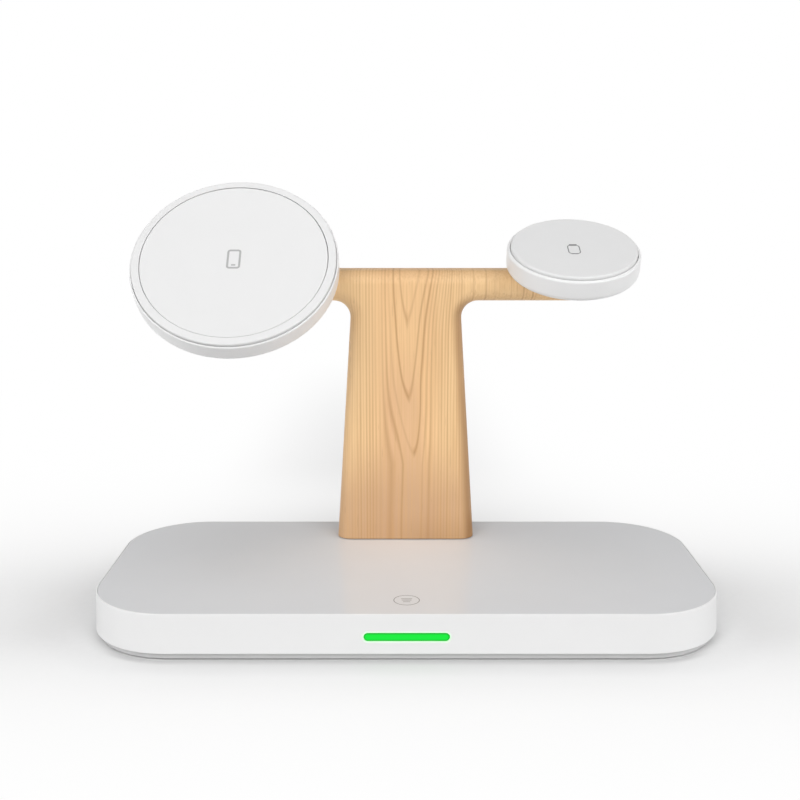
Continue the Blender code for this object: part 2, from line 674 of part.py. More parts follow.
def make_main_board():
    """Power board on its posts, with the chips and the inductor that stand on it."""
    half = MAIN_BOARD_WIDTH / 2
    board = block("main_board", (-half, MAIN_BOARD_FRONT, BOARD_LOW), (half, MAIN_BOARD_REAR, BOARD_TOP))
    for number, (x_share, y_share, width_share, rise) in enumerate(BOARD_PART_SHARES):
        x = x_share * half
        y = MAIN_BOARD_FRONT + y_share * MAIN_BOARD_DEPTH
        reach = width_share * MAIN_BOARD_DEPTH / 2
        join(board, block("board_part_" + str(number), (x - reach, y - reach, BOARD_TOP - JOIN_DEPTH),
                          (x + reach, y + reach, BOARD_TOP + rise * BOARD_THICKNESS)))
    finish(board, GREEN_BOARD)


def make_socket():
    """Steel power socket at the rear, open to the back, with its contact tongue."""
    socket = flat_solid("usb_c_socket", stadium(SOCKET_WIDTH, SOCKET_HEIGHT, (0, SOCKET_Z)),
                        SOCKET_FRONT, SOCKET_REAR, "Y")
    inside = stadium(SOCKET_WIDTH - 2 * SOCKET_WALL, SOCKET_HEIGHT - 2 * SOCKET_WALL, (0, SOCKET_Z))
    cut(socket, flat_solid("socket_inside", inside, SOCKET_FRONT + SOCKET_WALL,
                           SOCKET_REAR + CUT_OVERRUN, "Y"))
    join(socket, block("socket_tongue",
                       (-TONGUE_WIDTH / 2, SOCKET_FRONT + SOCKET_WALL / 2, SOCKET_Z - TONGUE_HEIGHT / 2),
                       (TONGUE_WIDTH / 2, SOCKET_REAR - SOCKET_WALL, SOCKET_Z + TONGUE_HEIGHT / 2)))
    finish(socket, BARE_STEEL)


def make_front_board():
    """Small board behind the front wall for the touch key's spring and the light's diodes."""
    half = FRONT_BOARD_WIDTH / 2
    finish(block("front_board", (-half, FRONT_BOARD_FRONT, BOARD_LOW), (half, FRONT_BOARD_REAR, BOARD_TOP)),
           GREEN_BOARD)
    guide_end = SIDE_FRONT_INSIDE + FIT_GAP + LENS_FLANGE_THICKNESS + LENS_GUIDE_LENGTH
    front = guide_end + FIT_GAP
    for number in range(LED_COUNT):
        x = (number - (LED_COUNT - 1) / 2) * LED_SPACING
        low = BOARD_TOP + FIT_GAP
        finish(block("light_diode_" + str(number + 1), (x - LED_WIDTH / 2, front, low),
                     (x + LED_WIDTH / 2, front + LED_DEPTH, low + LED_HEIGHT)), CLEAR_LED)


def make_touch_spring():
    """Contact spring between the front board and the underside of the top plate."""
    low = BOARD_TOP + FIT_GAP + TOUCH_SPRING_WIRE / 2
    high = PLATE_LOW - FIT_GAP - TOUCH_SPRING_WIRE / 2
    steps = TOUCH_SPRING_TURNS * POINTS_PER_TURN
    route = []
    for step in range(steps + 1):
        angle = 2 * math.pi * TOUCH_SPRING_TURNS * step / steps
        route.append((TOUCH_SPRING_RADIUS * math.cos(angle),
                      TOUCH_KEY_Y + TOUCH_SPRING_RADIUS * math.sin(angle),
                      low + (high - low) * step / steps))
    spring = tube("touch_spring", route, TOUCH_SPRING_WIRE / 2)
    finish(spring, BARE_STEEL)


def make_light_bar():
    """Green light-pipe: slim window in the front wall, flange behind it and a guide to the diodes."""
    window = stadium(LIGHT_BAR_WIDTH, LIGHT_BAR_HEIGHT, (0, LIGHT_BAR_Z))
    flange_front = SIDE_FRONT_INSIDE + FIT_GAP
    flange_rear = flange_front + LENS_FLANGE_THICKNESS
    front = SIDE_DRAFT * (LIGHT_BAR_Z - SIDE_LOW) / SIDE_HEIGHT - BASE_DEPTH / 2
    lens = flat_solid("light_bar_lens", window, front, flange_front + JOIN_DEPTH, "Y")
    flange = stadium(LIGHT_BAR_WIDTH + 2 * LENS_FLANGE_MARGIN, LIGHT_BAR_HEIGHT + 2 * LENS_FLANGE_MARGIN,
                     (0, LIGHT_BAR_Z))
    join(lens, flat_solid("lens_flange", flange, flange_front, flange_rear, "Y"))
    guide_x = LIGHT_BAR_WIDTH / 2 - LENS_FLANGE_MARGIN
    guide_z = LIGHT_BAR_HEIGHT / 2 - SEAM_GAP
    join(lens, block("lens_guide", (-guide_x, flange_rear - JOIN_DEPTH, LIGHT_BAR_Z - guide_z),
                     (guide_x, flange_rear + LENS_GUIDE_LENGTH, LIGHT_BAR_Z + guide_z)))
    finish(lens, GREEN_LENS)


def stem_outline():
    """Front view of the stem: tapered column, fillets and a cross arm with round ends."""
    fillet_z = ARM_LOW - ARM_FILLET_RADIUS
    neck = STEM_NECK_WIDTH / 2
    end_radius = ARM_HEIGHT / 2 - MERGE_DISTANCE
    end_x = ARM_SPAN / 2 - end_radius
    end_z = ARM_LOW + ARM_HEIGHT / 2
    right = [(STEM_FOOT_WIDTH / 2, STEM_LOW)]
    right += arc((neck + ARM_FILLET_RADIUS, fillet_z), ARM_FILLET_RADIUS, 180, 90, FILLET_STEPS)
    right += arc((end_x, end_z), end_radius, -90, 90, 2 * FILLET_STEPS)
    left = [(-x, z) for x, z in reversed(right)]
    return without_repeats(right + left)


def hinge_sides():
    """The two hinges: the head's name, the middle of its lug and the way to the arm's end."""
    return (("phone", PHONE_X, -1), ("watch", WATCH_X, 1))


def pin_ends(x, outward):
    """Where a hinge pin starts, at the end of the wire channel, and where it ends in the arm's tip."""
    return x - outward * (NOTCH_HALF + PIN_INNER_SEAT), x + outward * (NOTCH_HALF + PIN_OUTER_SEAT)


def make_stem():
    """Wooden front shell with the wire channel and hinge notches, and the wooden rear cover."""
    shell = flat_solid("stem_front_shell", stem_outline(), STEM_FRONT_Y, STEM_SPLIT_Y, "Y")
    front = STEM_FRONT_Y + MERGE_DISTANCE
    above_foot = STEM_LOW + MERGE_DISTANCE
    round_edges(shell, lambda middle: middle.y < front and middle.z > above_foot, STEM_FRONT_ROUND)
    half = CHANNEL_WIDTH / 2
    channel_top = HINGE_Z + CHANNEL_HEIGHT / 2
    cut(shell, block("column_channel", (-half, CHANNEL_Y, STEM_LOW - CUT_OVERRUN),
                     (half, STEM_SPLIT_Y + CUT_OVERRUN, channel_top)))
    for side, x, outward in hinge_sides():
        channel_end, pin_end = pin_ends(x, outward)
        ends = sorted((0, channel_end))
        cut(shell, block("arm_channel_" + side, (ends[0], CHANNEL_Y, HINGE_Z - CHANNEL_HEIGHT / 2),
                         (ends[1], STEM_SPLIT_Y + CUT_OVERRUN, channel_top)))
        cut(shell, block("notch_" + side,
                         (x - NOTCH_HALF, STEM_FRONT_Y - CUT_OVERRUN, HINGE_Z - NOTCH_REACH),
                         (x + NOTCH_HALF, HINGE_Y + NOTCH_REACH, ARM_TOP + CUT_OVERRUN)))
        bore = sorted((channel_end - outward * CUT_OVERRUN, pin_end + outward * FIT_GAP))
        cut(shell, rod("pin_hole_" + side, PIN_RADIUS + PIN_GAP, bore[0], bore[1], (0, HINGE_Y, HINGE_Z),
                       STEPS_SMALL, "X"))
    for side, x in (("left", -INSERT_X), ("right", INSERT_X)):
        cut(shell, rod("insert_hole_" + side, INSERT_RADIUS + SEAM_GAP, STEM_LOW - CUT_OVERRUN,
                       STEM_LOW + INSERT_LENGTH + 2 * FIT_GAP, (x, CHANNEL_MIDDLE_Y, 0), STEPS_SMALL))
    finish(shell, ASH_WOOD)

    cover = flat_solid("stem_rear_cover", stem_outline(), STEM_COVER_Y, STEM_COVER_Y + STEM_COVER_DEPTH, "Y")
    rear = STEM_COVER_Y + STEM_COVER_DEPTH - MERGE_DISTANCE
    round_edges(cover, lambda middle: middle.y > rear, STEM_REAR_ROUND)
    rib_half = half - FIT_GAP
    join(cover, block("column_rib", (-rib_half, STEM_SPLIT_Y - RIB_DEPTH, STEM_LOW + FIT_GAP),
                      (rib_half, STEM_COVER_Y + JOIN_DEPTH, HINGE_Z - CHANNEL_HEIGHT / 2)))
    finish(cover, ASH_WOOD)


def make_stem_fixings():
    """Brass inserts in the stem's foot and the screws that come up through the deck into them."""
    for side, x in (("left", -INSERT_X), ("right", INSERT_X)):
        low = STEM_LOW + FIT_GAP
        insert = ring("stem_insert_" + side, INSERT_RADIUS, SHANK_HOLE_RADIUS, low, low + INSERT_LENGTH,
                      STEPS_SMALL)
        finish(place(insert, location=(x, CHANNEL_MIDDLE_Y, 0)), BRASS)
        seat = DECK_LOW - FIT_GAP
        screw = turned("stem_screw_" + side, screw_profile(seat, seat + STEM_SCREW_LENGTH), STEPS_TINY)
        finish(place(screw, location=(x, CHANNEL_MIDDLE_Y, 0)), BARE_STEEL)


def make_leads():
    """A lead for each head: from its plug on the main board, up the stem, along the arm to the pin."""
    for side, x, outward in hinge_sides():
        plug_x = outward * PLUG_X
        low = BOARD_TOP + FIT_GAP
        finish(block(side + "_lead_plug", (plug_x - PLUG_WIDTH / 2, PLUG_Y - PLUG_DEPTH / 2, low),
                     (plug_x + PLUG_WIDTH / 2, PLUG_Y + PLUG_DEPTH / 2, low + PLUG_HEIGHT)), SATIN_WHITE)
        start_y = PLUG_Y + PLUG_DEPTH / 2 + FIT_GAP
        start_z = low + PLUG_HEIGHT / 2
        near = outward * LEAD_SPREAD
        pin_start = pin_ends(x, outward)[0]
        route = [(plug_x, start_y, start_z), (plug_x, start_y + PLUG_DEPTH / 2, start_z),
                 ((plug_x + near) / 2, LEAD_HOLE_Y - PLUG_DEPTH / 4, start_z), (near, LEAD_HOLE_Y, DECK_LOW)]
        route += [(near, LEAD_HOLE_Y, DECK_TOP + share * (HINGE_Z - DECK_TOP)) for share in LEAD_RISE_SHARES]
        route += [(near, LEAD_HOLE_Y, HINGE_Z - CHANNEL_WIDTH),
                  (near + outward * LEAD_RADIUS / 2, LEAD_HOLE_Y, HINGE_Z - CHANNEL_HEIGHT),
                  (outward * CHANNEL_WIDTH / 2, (LEAD_HOLE_Y + HINGE_Y) / 2, HINGE_Z),
                  (near + outward * ARM_HEIGHT, HINGE_Y, HINGE_Z), (pin_start, HINGE_Y, HINGE_Z),
                  (x, HINGE_Y, HINGE_Z)]
        finish(tube(side + "_lead", smooth_route(route, ROUTE_STEPS), LEAD_RADIUS), WIRE_JACKET)


def make_hinge_pins():
    """Hollow steel pins with a window for the lead, and a friction washer on each side of the lug."""
    for side, x, outward in hinge_sides():
        ends = sorted(pin_ends(x, outward))
        pin = rod(side + "_hinge_pin", PIN_RADIUS, ends[0], ends[1], (0, HINGE_Y, HINGE_Z), STEPS_SMALL, "X")
        cut(pin, rod(side + "_pin_bore", PIN_BORE_RADIUS, ends[0] - CUT_OVERRUN, ends[1] + CUT_OVERRUN,
                     (0, HINGE_Y, HINGE_Z), STEPS_SMALL, "X"))
        cut(pin, block(side + "_pin_window",
                       (x - PIN_WINDOW / 2, HINGE_Y - PIN_RADIUS - CUT_OVERRUN, HINGE_Z),
                       (x + PIN_WINDOW / 2, HINGE_Y + PIN_BORE_RADIUS / 2,
                        HINGE_Z + PIN_RADIUS + CUT_OVERRUN)))
        finish(pin, BARE_STEEL)
        for position, way in (("inner", -outward), ("outer", outward)):
            near = LUG_WIDTH / 2 + FIT_GAP
            washer = ring(side + "_washer_" + position, WASHER_RADIUS, PIN_RADIUS + PIN_GAP, 0,
                          WASHER_THICKNESS, STEPS_SMALL)
            shift = near if way > 0 else -near - WASHER_THICKNESS
            place(washer, location=(x + shift, HINGE_Y, HINGE_Z), turn=(0, math.radians(90), 0))
            finish(washer, BARE_STEEL)


def make_head_mount(name, x, tilt):
    """Empty on a head's hinge axis: its local Z is the head's facing direction."""
    empty = bpy.data.objects.new(name, None)
    cutters.objects.link(empty)
    empty.location = (x, HINGE_Y, HINGE_Z)
    empty.rotation_euler = (tilt, 0, 0)
    return empty


def lug_outline(height):
    """Side view of a head's hinge lug: round knuckle, straight neck and a flared root."""
    outer = KNUCKLE_RADIUS + LUG_FLARE_RADIUS
    flare_z = height - LUG_FLARE_RADIUS
    right = arc((0, 0), KNUCKLE_RADIUS, -90, 0, CORNER_STEPS)
    right += arc((outer, flare_z), LUG_FLARE_RADIUS, 180, 90, ROUND_STEPS)
    right.append((outer, height + JOIN_DEPTH))
    left = [(-y, z) for y, z in reversed(right)]
    return without_repeats(right + left)


def add_hinge_lug(housing, name, mount, back, floor):
    """Joins the boss and the lug to a housing's back, and bores the pin hole and the wire way."""
    boss_low = back - BACK_BOSS_HEIGHT
    boss = turned(name + "_back_boss", [(0, back + JOIN_DEPTH), (BACK_BOSS_RADIUS, back + JOIN_DEPTH),
                                        (BACK_BOSS_RADIUS, boss_low + BACK_BOSS_HEIGHT / 2),
                                        (BACK_BOSS_RADIUS - BACK_BOSS_HEIGHT / 2, boss_low), (0, boss_low)],
                  STEPS_MEDIUM)
    join(housing, place(boss, mount))
    lug = flat_solid(name + "_lug", lug_outline(boss_low), -LUG_WIDTH / 2, LUG_WIDTH / 2, "X")
    join(housing, place(lug, mount))
    bore = rod(name + "_lug_bore", PIN_RADIUS + PIN_GAP, -LUG_WIDTH, LUG_WIDTH, (0, 0, 0), STEPS_SMALL, "X")
    cut(housing, place(bore, mount))
    way = rod(name + "_wire_way", WIRE_WAY_RADIUS, 0, floor + CUT_OVERRUN, (0, 0, 0), STEPS_TINY)
    cut(housing, place(way, mount))


def make_phone_head():
    """Phone head: white housing, raised trim ring, magnet ring and coil stack behind the pad."""
    mount = make_head_mount("phone_hinge_axis", PHONE_X, PHONE_TILT)
    centre = (0, -PHONE_DROP, PHONE_LIFT)
    opening = PHONE_SEAM_RADIUS + SEAM_GAP
    ledge = -PHONE_RING_DEPTH - FIT_GAP
    inside = PHONE_RADIUS - PHONE_SIDE_WALL
    floor = -PHONE_DEPTH + PHONE_BACK_WALL
    body = [(opening, 0)]
    body += arc((PHONE_RADIUS - PHONE_SHOULDER, -PHONE_SHOULDER), PHONE_SHOULDER, SHOULDER_START, 0,
                ROUND_STEPS)
    body += arc((PHONE_RADIUS - PHONE_BACK_ROUND, -PHONE_DEPTH + PHONE_BACK_ROUND), PHONE_BACK_ROUND, 0, -90,
                ROUND_STEPS)
    body += [(0, -PHONE_DEPTH), (0, floor), (inside, floor), (inside, ledge), (opening, ledge)]
    housing = turned("phone_housing", body, STEPS_LARGE)
    place(housing, mount, centre)
    add_hinge_lug(housing, "phone", mount, PHONE_LIFT - PHONE_DEPTH, PHONE_LIFT + floor)
    finish(housing, WHITE_PLASTIC)

    flange_top = -PHONE_RING_DEPTH + PHONE_FLANGE_THICKNESS
    flange_bore = PHONE_RING_INNER_RADIUS - PHONE_FLANGE_WIDTH
    middle = (PHONE_SEAM_RADIUS + PHONE_RING_INNER_RADIUS) / 2
    trim = turned("phone_trim_ring",
                  [(PHONE_RING_INNER_RADIUS, PHONE_RING_RISE),
                   (middle, PHONE_RING_RISE * PHONE_RING_CROWN_SHARE),
                   (PHONE_SEAM_RADIUS, 0), (PHONE_SEAM_RADIUS, -PHONE_RING_DEPTH),
                   (flange_bore, -PHONE_RING_DEPTH), (flange_bore, flange_top),
                   (PHONE_RING_INNER_RADIUS, flange_top)], STEPS_LARGE)
    finish(place(trim, mount, centre), SATIN_WHITE)

    pad_radius = PHONE_RING_INNER_RADIUS - SEAM_GAP
    pad_low = flange_top + FIT_GAP
    pad = turned("phone_pad", [(0, PHONE_RING_RISE), (pad_radius - PHONE_PAD_EDGE, PHONE_RING_RISE),
                               (pad_radius, PHONE_RING_RISE - PHONE_PAD_EDGE), (pad_radius, pad_low),
                               (0, pad_low)], STEPS_LARGE)
    finish(place(pad, mount, centre), SATIN_WHITE)

    top = pad_low - FIT_GAP
    magnets = ring("phone_magnet_ring", PHONE_MAGNET_RADIUS, PHONE_MAGNET_RADIUS - PHONE_MAGNET_WIDTH,
                   top - PHONE_MAGNET_THICKNESS, top, STEPS_MEDIUM)
    finish(place(magnets, mount, centre), BARE_STEEL)
    coil_low = top - PHONE_COIL_THICKNESS
    coil = ring("phone_coil", PHONE_COIL_RADIUS, PHONE_COIL_BORE, coil_low, top, STEPS_MEDIUM)
    finish(place(coil, mount, centre), COPPER)
    sheet_top = coil_low - FIT_GAP
    sheet_low = sheet_top - PHONE_FERRITE_THICKNESS
    sheet = disc("phone_ferrite", PHONE_COIL_RADIUS + FERRITE_MARGIN, sheet_low, sheet_top, STEPS_MEDIUM)
    finish(place(sheet, mount, centre), FERRITE)
    board = disc("phone_board", PHONE_BOARD_RADIUS, floor + FIT_GAP, sheet_low - FIT_GAP, STEPS_MEDIUM)
    finish(place(board, mount, centre), GREEN_BOARD)


def make_watch_head():
    """Watch head: white housing, raised round face, magnet and coil stack behind it."""
    mount = make_head_mount("watch_hinge_axis", WATCH_X, WATCH_TILT)
    centre = (0, -WATCH_DROP, WATCH_LIFT)
    opening = WATCH_SEAM_RADIUS
    inside = WATCH_RADIUS - WATCH_SIDE_WALL
    ledge = -WATCH_FACE_SINK - FIT_GAP
    floor = -WATCH_DEPTH + WATCH_BACK_WALL
    body = [(opening, 0)]
    body += arc((WATCH_RADIUS - WATCH_SHOULDER, -WATCH_SHOULDER), WATCH_SHOULDER, SHOULDER_START, 0,
                ROUND_STEPS)
    body += arc((WATCH_RADIUS - WATCH_BACK_ROUND, -WATCH_DEPTH + WATCH_BACK_ROUND), WATCH_BACK_ROUND, 0, -90,
                ROUND_STEPS)
    body += [(0, -WATCH_DEPTH), (0, floor), (inside, floor), (inside, ledge), (opening, ledge)]
    housing = turned("watch_housing", body, STEPS_LARGE)
    place(housing, mount, centre)
    add_hinge_lug(housing, "watch", mount, WATCH_LIFT - WATCH_DEPTH, WATCH_LIFT + floor)
    finish(housing, WHITE_PLASTIC)

    face_radius = WATCH_SEAM_RADIUS - SEAM_GAP
    crown = [(0, WATCH_FACE_RISE)]
    crown += arc((face_radius - WATCH_FACE_ROUND, WATCH_FACE_RISE - WATCH_FACE_ROUND), WATCH_FACE_ROUND,
                 90, 0, ROUND_STEPS)
    crown += [(face_radius, -WATCH_FACE_SINK), (0, -WATCH_FACE_SINK)]
    finish(place(turned("watch_face", crown, STEPS_LARGE), mount, centre), SATIN_WHITE)

    top = ledge
    coil_low = top - WATCH_COIL_THICKNESS
    magnet = disc("watch_magnet", WATCH_MAGNET_RADIUS, coil_low, top, STEPS_SMALL)
    finish(place(magnet, mount, centre), BARE_STEEL)
    coil = ring("watch_coil", WATCH_COIL_RADIUS, WATCH_COIL_BORE, coil_low, top, STEPS_MEDIUM)
    finish(place(coil, mount, centre), COPPER)
    sheet_top = coil_low - FIT_GAP
    sheet_low = sheet_top - WATCH_FERRITE_THICKNESS
    sheet = disc("watch_ferrite", WATCH_COIL_RADIUS + FERRITE_MARGIN, sheet_low, sheet_top, STEPS_MEDIUM)
    finish(place(sheet, mount, centre), FERRITE)
    board = disc("watch_board", WATCH_BOARD_RADIUS, floor + FIT_GAP, sheet_low - FIT_GAP, STEPS_MEDIUM)
    finish(place(board, mount, centre), GREEN_BOARD)


make_base_housing()
make_top_plate()
make_bottom_cover()
make_feet_and_screws()
make_ballast()
make_earbud_coil()
make_main_board()
make_socket()
make_front_board()
make_touch_spring()
make_light_bar()
make_stem()
make_stem_fixings()
make_leads()
make_hinge_pins()
make_phone_head()
make_watch_head()
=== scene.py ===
"""Desk charging stand for a phone, a watch and earbuds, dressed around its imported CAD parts.

Units are metres, +Z is up and the front is -Y. Each section makes one piece, or one group of like
pieces, in the order in which the stand is put together.
"""
import math
from functools import partial

import bmesh
import bpy
from mathutils import Matrix, Vector


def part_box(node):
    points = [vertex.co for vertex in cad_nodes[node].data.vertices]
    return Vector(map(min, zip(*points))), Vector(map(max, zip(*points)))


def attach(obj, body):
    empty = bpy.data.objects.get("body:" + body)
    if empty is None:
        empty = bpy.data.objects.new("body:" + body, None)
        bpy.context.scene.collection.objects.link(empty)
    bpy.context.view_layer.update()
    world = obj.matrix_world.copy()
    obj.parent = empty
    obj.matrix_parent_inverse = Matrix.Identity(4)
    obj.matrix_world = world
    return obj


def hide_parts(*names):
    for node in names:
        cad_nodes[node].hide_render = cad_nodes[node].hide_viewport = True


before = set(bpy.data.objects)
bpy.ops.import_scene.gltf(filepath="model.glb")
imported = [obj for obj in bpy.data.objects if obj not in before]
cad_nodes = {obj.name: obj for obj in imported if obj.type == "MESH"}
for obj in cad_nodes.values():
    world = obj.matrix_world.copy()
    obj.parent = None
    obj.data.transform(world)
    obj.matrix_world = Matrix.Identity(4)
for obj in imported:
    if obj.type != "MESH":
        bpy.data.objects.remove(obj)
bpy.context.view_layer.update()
MM = 0.001

# Camera: level with the heads, looking down at the base from the front. Its 50 mm lens on a
# 36 mm sensor and its pitch come from the base's outline and the ellipses of the two discs.
camera_data = bpy.data.cameras.new("front_camera")
camera_data.lens = 50.0
camera_data.sensor_width = 36.0
camera = bpy.data.objects.new("front_camera", camera_data)
camera.location = (-1.75 * MM, -307.3 * MM, 124.9 * MM)
camera.rotation_euler = (math.radians(78.31), 0, 0)
bpy.context.scene.collection.objects.link(camera)
bpy.context.scene.camera = camera


# Bottom cover: one grey ABS moulding that closes the base from below. It stands in from the side
# wall, so from the front it shows as a thin shaded strip, held by four screws under the feet.
BLEND = {"data_type": "RGBA"}


def linear(code):
    """A colour written as an sRGB hex value, as Blender's linear numbers."""
    channels = [int(code[start:start + 2], 16) / 255 for start in (1, 3, 5)]
    return tuple(c / 12.92 if c <= 0.04045 else ((c + 0.055) / 1.055) ** 2.4 for c in channels) + (1.0,)


def connect(material, node, inputs):
    """Sets or links a node's inputs, by name or in the order of its open sockets.

    A node that stands for a value is linked by its first open output.
    """
    if isinstance(inputs, dict):
        pairs = [(node.inputs[name], value) for name, value in inputs.items()]
    else:
        pairs = list(zip([socket for socket in node.inputs if socket.enabled], inputs))
    for socket, value in pairs:
        if isinstance(value, bpy.types.Node):
            value = [output for output in value.outputs if output.enabled][0]
        if isinstance(value, bpy.types.NodeSocket):
            material.node_tree.links.new(value, socket)
        else:
            socket.default_value = value


def add_node(material, kind, settings, inputs):
    """Adds a shader node with its settings and links. A plain word as settings is its operation."""
    node = material.node_tree.nodes.new("ShaderNode" + kind)
    for name, value in ({"operation": settings} if isinstance(settings, str) else settings).items():
        setattr(node, name, value)
    connect(material, node, inputs)
    return node


def new_finish(name, **sockets):
    """A material with its Principled shader, whose plain sockets are set here."""
    material = bpy.data.materials.new(name)
    material.use_nodes = True
    shader = material.node_tree.nodes["Principled BSDF"]
    connect(material, shader, {key.replace("_", " "): value for key, value in sockets.items()})
    return material, shader


def speckle(material, shader, grain, depth, light, dark, rough_low, rough_high):
    """Moulding texture: a fine grain of a real size that lifts the surface and varies its shade."""
    place = add_node(material, "TexCoord", {}, {}).outputs["Object"]
    fine, broad = [
        add_node(material, "TexNoise", {},
                 {"Vector": place, "Scale": 1 / size, "Detail": detail, "Roughness": 0.5})
        for size, detail in ((grain, 2.0), (30 * grain, 1.0))]
    connect(material, shader, {
        "Base Color": add_node(material, "Mix", BLEND, [broad, dark, light]),
        "Roughness": add_node(material, "MapRange", {}, [fine, 0.0, 1.0, rough_low, rough_high]),
        "Normal": add_node(material, "Bump", {}, {"Height": fine, "Strength": 0.35, "Distance": depth})})


def dress(node, material):
    """Gives a CAD node its finish."""
    mesh = cad_nodes[node].data
    mesh.materials.clear()
    mesh.materials.append(material)


# Grey ABS, moulded in a spark-eroded tool: an even fine texture that scatters every highlight.
abs_moulded_grey, shader = new_finish("abs_moulded_grey", IOR=1.53)
speckle(abs_moulded_grey, shader, 0.25 * MM, 0.02 * MM, linear("#D8D8D8"), linear("#D0D0D0"), 0.50, 0.62)
dress("bottom_cover", abs_moulded_grey)


# Feet: four round pads of grey thermoplastic rubber, punched from sheet and glued over the cover
# screws. They lift the stand half a millimetre, which shows as the dark line under the base.

# Rubber, punched from calendered sheet: dark grey and quite matt.
rubber_punched, shader = new_finish("rubber_punched", IOR=1.50)
speckle(rubber_punched, shader, 0.35 * MM, 0.04 * MM, linear("#6E6E6E"), linear("#5F5F5F"), 0.80, 0.92)
for corner in ("front_left", "front_right", "rear_left", "rear_right"):
    dress("foot_" + corner, rubber_punched)


# Fixings: pan-head steel screws, zinc plated, in the wells over the feet and under the deck. The
# steel ballast plates and the springs are the same bare, lightly brushed metal.

# Zinc plate over brushed steel: a cool grey with fine, slightly duller streaks.
steel_zinc_plated, shader = new_finish("steel_zinc_plated", Metallic=1.0)
place = add_node(steel_zinc_plated, "TexCoord", {}, {}).outputs["Object"]
brush = add_node(steel_zinc_plated, "TexNoise", {}, {
    "Vector": add_node(steel_zinc_plated, "Mapping", {}, {"Vector": place, "Scale": (1, 12, 1)}),
    "Scale": 1 / (1.2 * MM), "Detail": 3.0})
connect(steel_zinc_plated, shader, {
    "Base Color": add_node(steel_zinc_plated, "Mix", BLEND, [brush, linear("#A9ABAF"), linear("#C9CBCE")]),
    "Roughness": add_node(steel_zinc_plated, "MapRange", {}, [brush, 0.0, 1.0, 0.25, 0.42])})
for node in ("cover_screw_front_left", "cover_screw_front_right", "cover_screw_rear_left",
             "cover_screw_rear_right", "ballast_left", "ballast_right", "stem_screw_left",
             "stem_screw_right", "touch_spring"):
    dress(node, steel_zinc_plated)


# Base housing: one white ABS moulding, open below. Its wall carries the deck, and its top edge is
# a narrow rim round the pocket for the top plate. The light bar and the socket pass through it.
BASE_WIDTH, BASE_DEPTH = 171.2 * MM, 78.3 * MM
BASE_CORNER = 22.7 * MM
WALL_LOW, BASE_TOP = 2.2 * MM, 13.0 * MM
WALL, WALL_ROUND = 2.0 * MM, 0.3 * MM
DRAFT, RIM = 0.4 * MM, 0.4 * MM
DECK_TOP, DECK_LOW = 11.5 * MM, 10.0 * MM
LIGHT_SIZE = (22.3 * MM, 2.2 * MM)
LIGHT_Z = 6.9 * MM
LIGHT_Y = DRAFT * (LIGHT_Z - WALL_LOW) / (BASE_TOP - WALL_LOW) - BASE_DEPTH / 2
SOCKET_SIZE = (9.6 * MM, 3.8 * MM)
SOCKET_Z = (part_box("usb_c_socket")[0].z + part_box("usb_c_socket")[1].z) / 2


def rounded_slab(width, depth, low, high, corner, segments):
    """A flat block with round corners in plan, made by bevelling a cube's upright edges."""
    slab = bmesh.new()
    bmesh.ops.create_cube(slab, size=1)
    bmesh.ops.scale(slab, verts=slab.verts, vec=(width, depth, high - low))
    bmesh.ops.translate(slab, verts=slab.verts, vec=(0, 0, (low + high) / 2))
    upright = [e for e in slab.edges if abs(e.verts[0].co.z - e.verts[1].co.z) > (high - low) / 2]
    bmesh.ops.bevel(slab, geom=upright, offset=corner, segments=segments, profile=0.5, affect="EDGES",
                    material=-1)
    return slab


def flat_face(work, z, tolerance=0.01 * MM):
    """The largest face that lies at a height."""
    level = [f for f in work.faces if all(abs(v.co.z - z) < tolerance for v in f.verts)]
    return max(level, key=lambda f: f.calc_area())


def sink_pocket(work, z, inset, bottom):
    """Insets the flat face at a height and moves its middle to another height."""
    middle = flat_face(work, z)
    bmesh.ops.inset_region(work, faces=[middle], thickness=inset, use_even_offset=True)
    walls = bmesh.ops.extrude_discrete_faces(work, faces=[middle])
    bmesh.ops.translate(work, verts=walls["faces"][0].verts, vec=(0, 0, bottom - z))


def make_object(name, work):
    """Turns a bmesh into an object at the origin, with merged points and outward faces."""
    bmesh.ops.remove_doubles(work, verts=work.verts, dist=0.001 * MM)
    bmesh.ops.recalc_face_normals(work, faces=work.faces)
    mesh = bpy.data.meshes.new(name)
    work.to_mesh(mesh)
    work.free()
    piece = bpy.data.objects.new(name, mesh)
    bpy.context.scene.collection.objects.link(piece)
    return piece


def bake(piece):
    """Writes a piece's live modifiers into its mesh."""
    shaped = piece.evaluated_get(bpy.context.evaluated_depsgraph_get())
    mesh = bpy.data.meshes.new_from_object(shaped)
    piece.modifiers.clear()
    piece.data = mesh


def combine(piece, operation, *tools):
    """Cuts away or joins on the shapes of other bmeshes."""
    for tool in tools:
        other = make_object("tool", tool)
        boolean = piece.modifiers.new("combine", "BOOLEAN")
        boolean.operation = operation
        boolean.solver = "MANIFOLD"
        boolean.object = other
        bake(piece)
        bpy.data.objects.remove(other, do_unlink=True)


def break_edges(piece, width, segments=2, angle=40):
    """Takes the sharpness off a piece's edges, as a mould or a sander does."""
    bevel = piece.modifiers.new("broken_edges", "BEVEL")
    bevel.width = width
    bevel.segments = segments
    bevel.limit_method = "ANGLE"
    bevel.angle_limit = math.radians(angle)
    bevel.use_clamp_overlap = True
    bake(piece)


def set_in_place(piece, material, body, slot, *nodes, sharp=35):
    """Shades a finished piece, gives it its material, ties it to its body and hides the CAD nodes that it
    replaces. Its slot is not used.
    """
    piece.data.materials.clear()
    piece.data.materials.append(material)
    piece.data.shade_smooth()
    piece.data.set_sharp_from_angle(angle=math.radians(sharp))
    even = piece.modifiers.new("even_normals", "WEIGHTED_NORMAL")
    even.keep_sharp = True
    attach(piece, body)
    if nodes:
        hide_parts(*nodes)


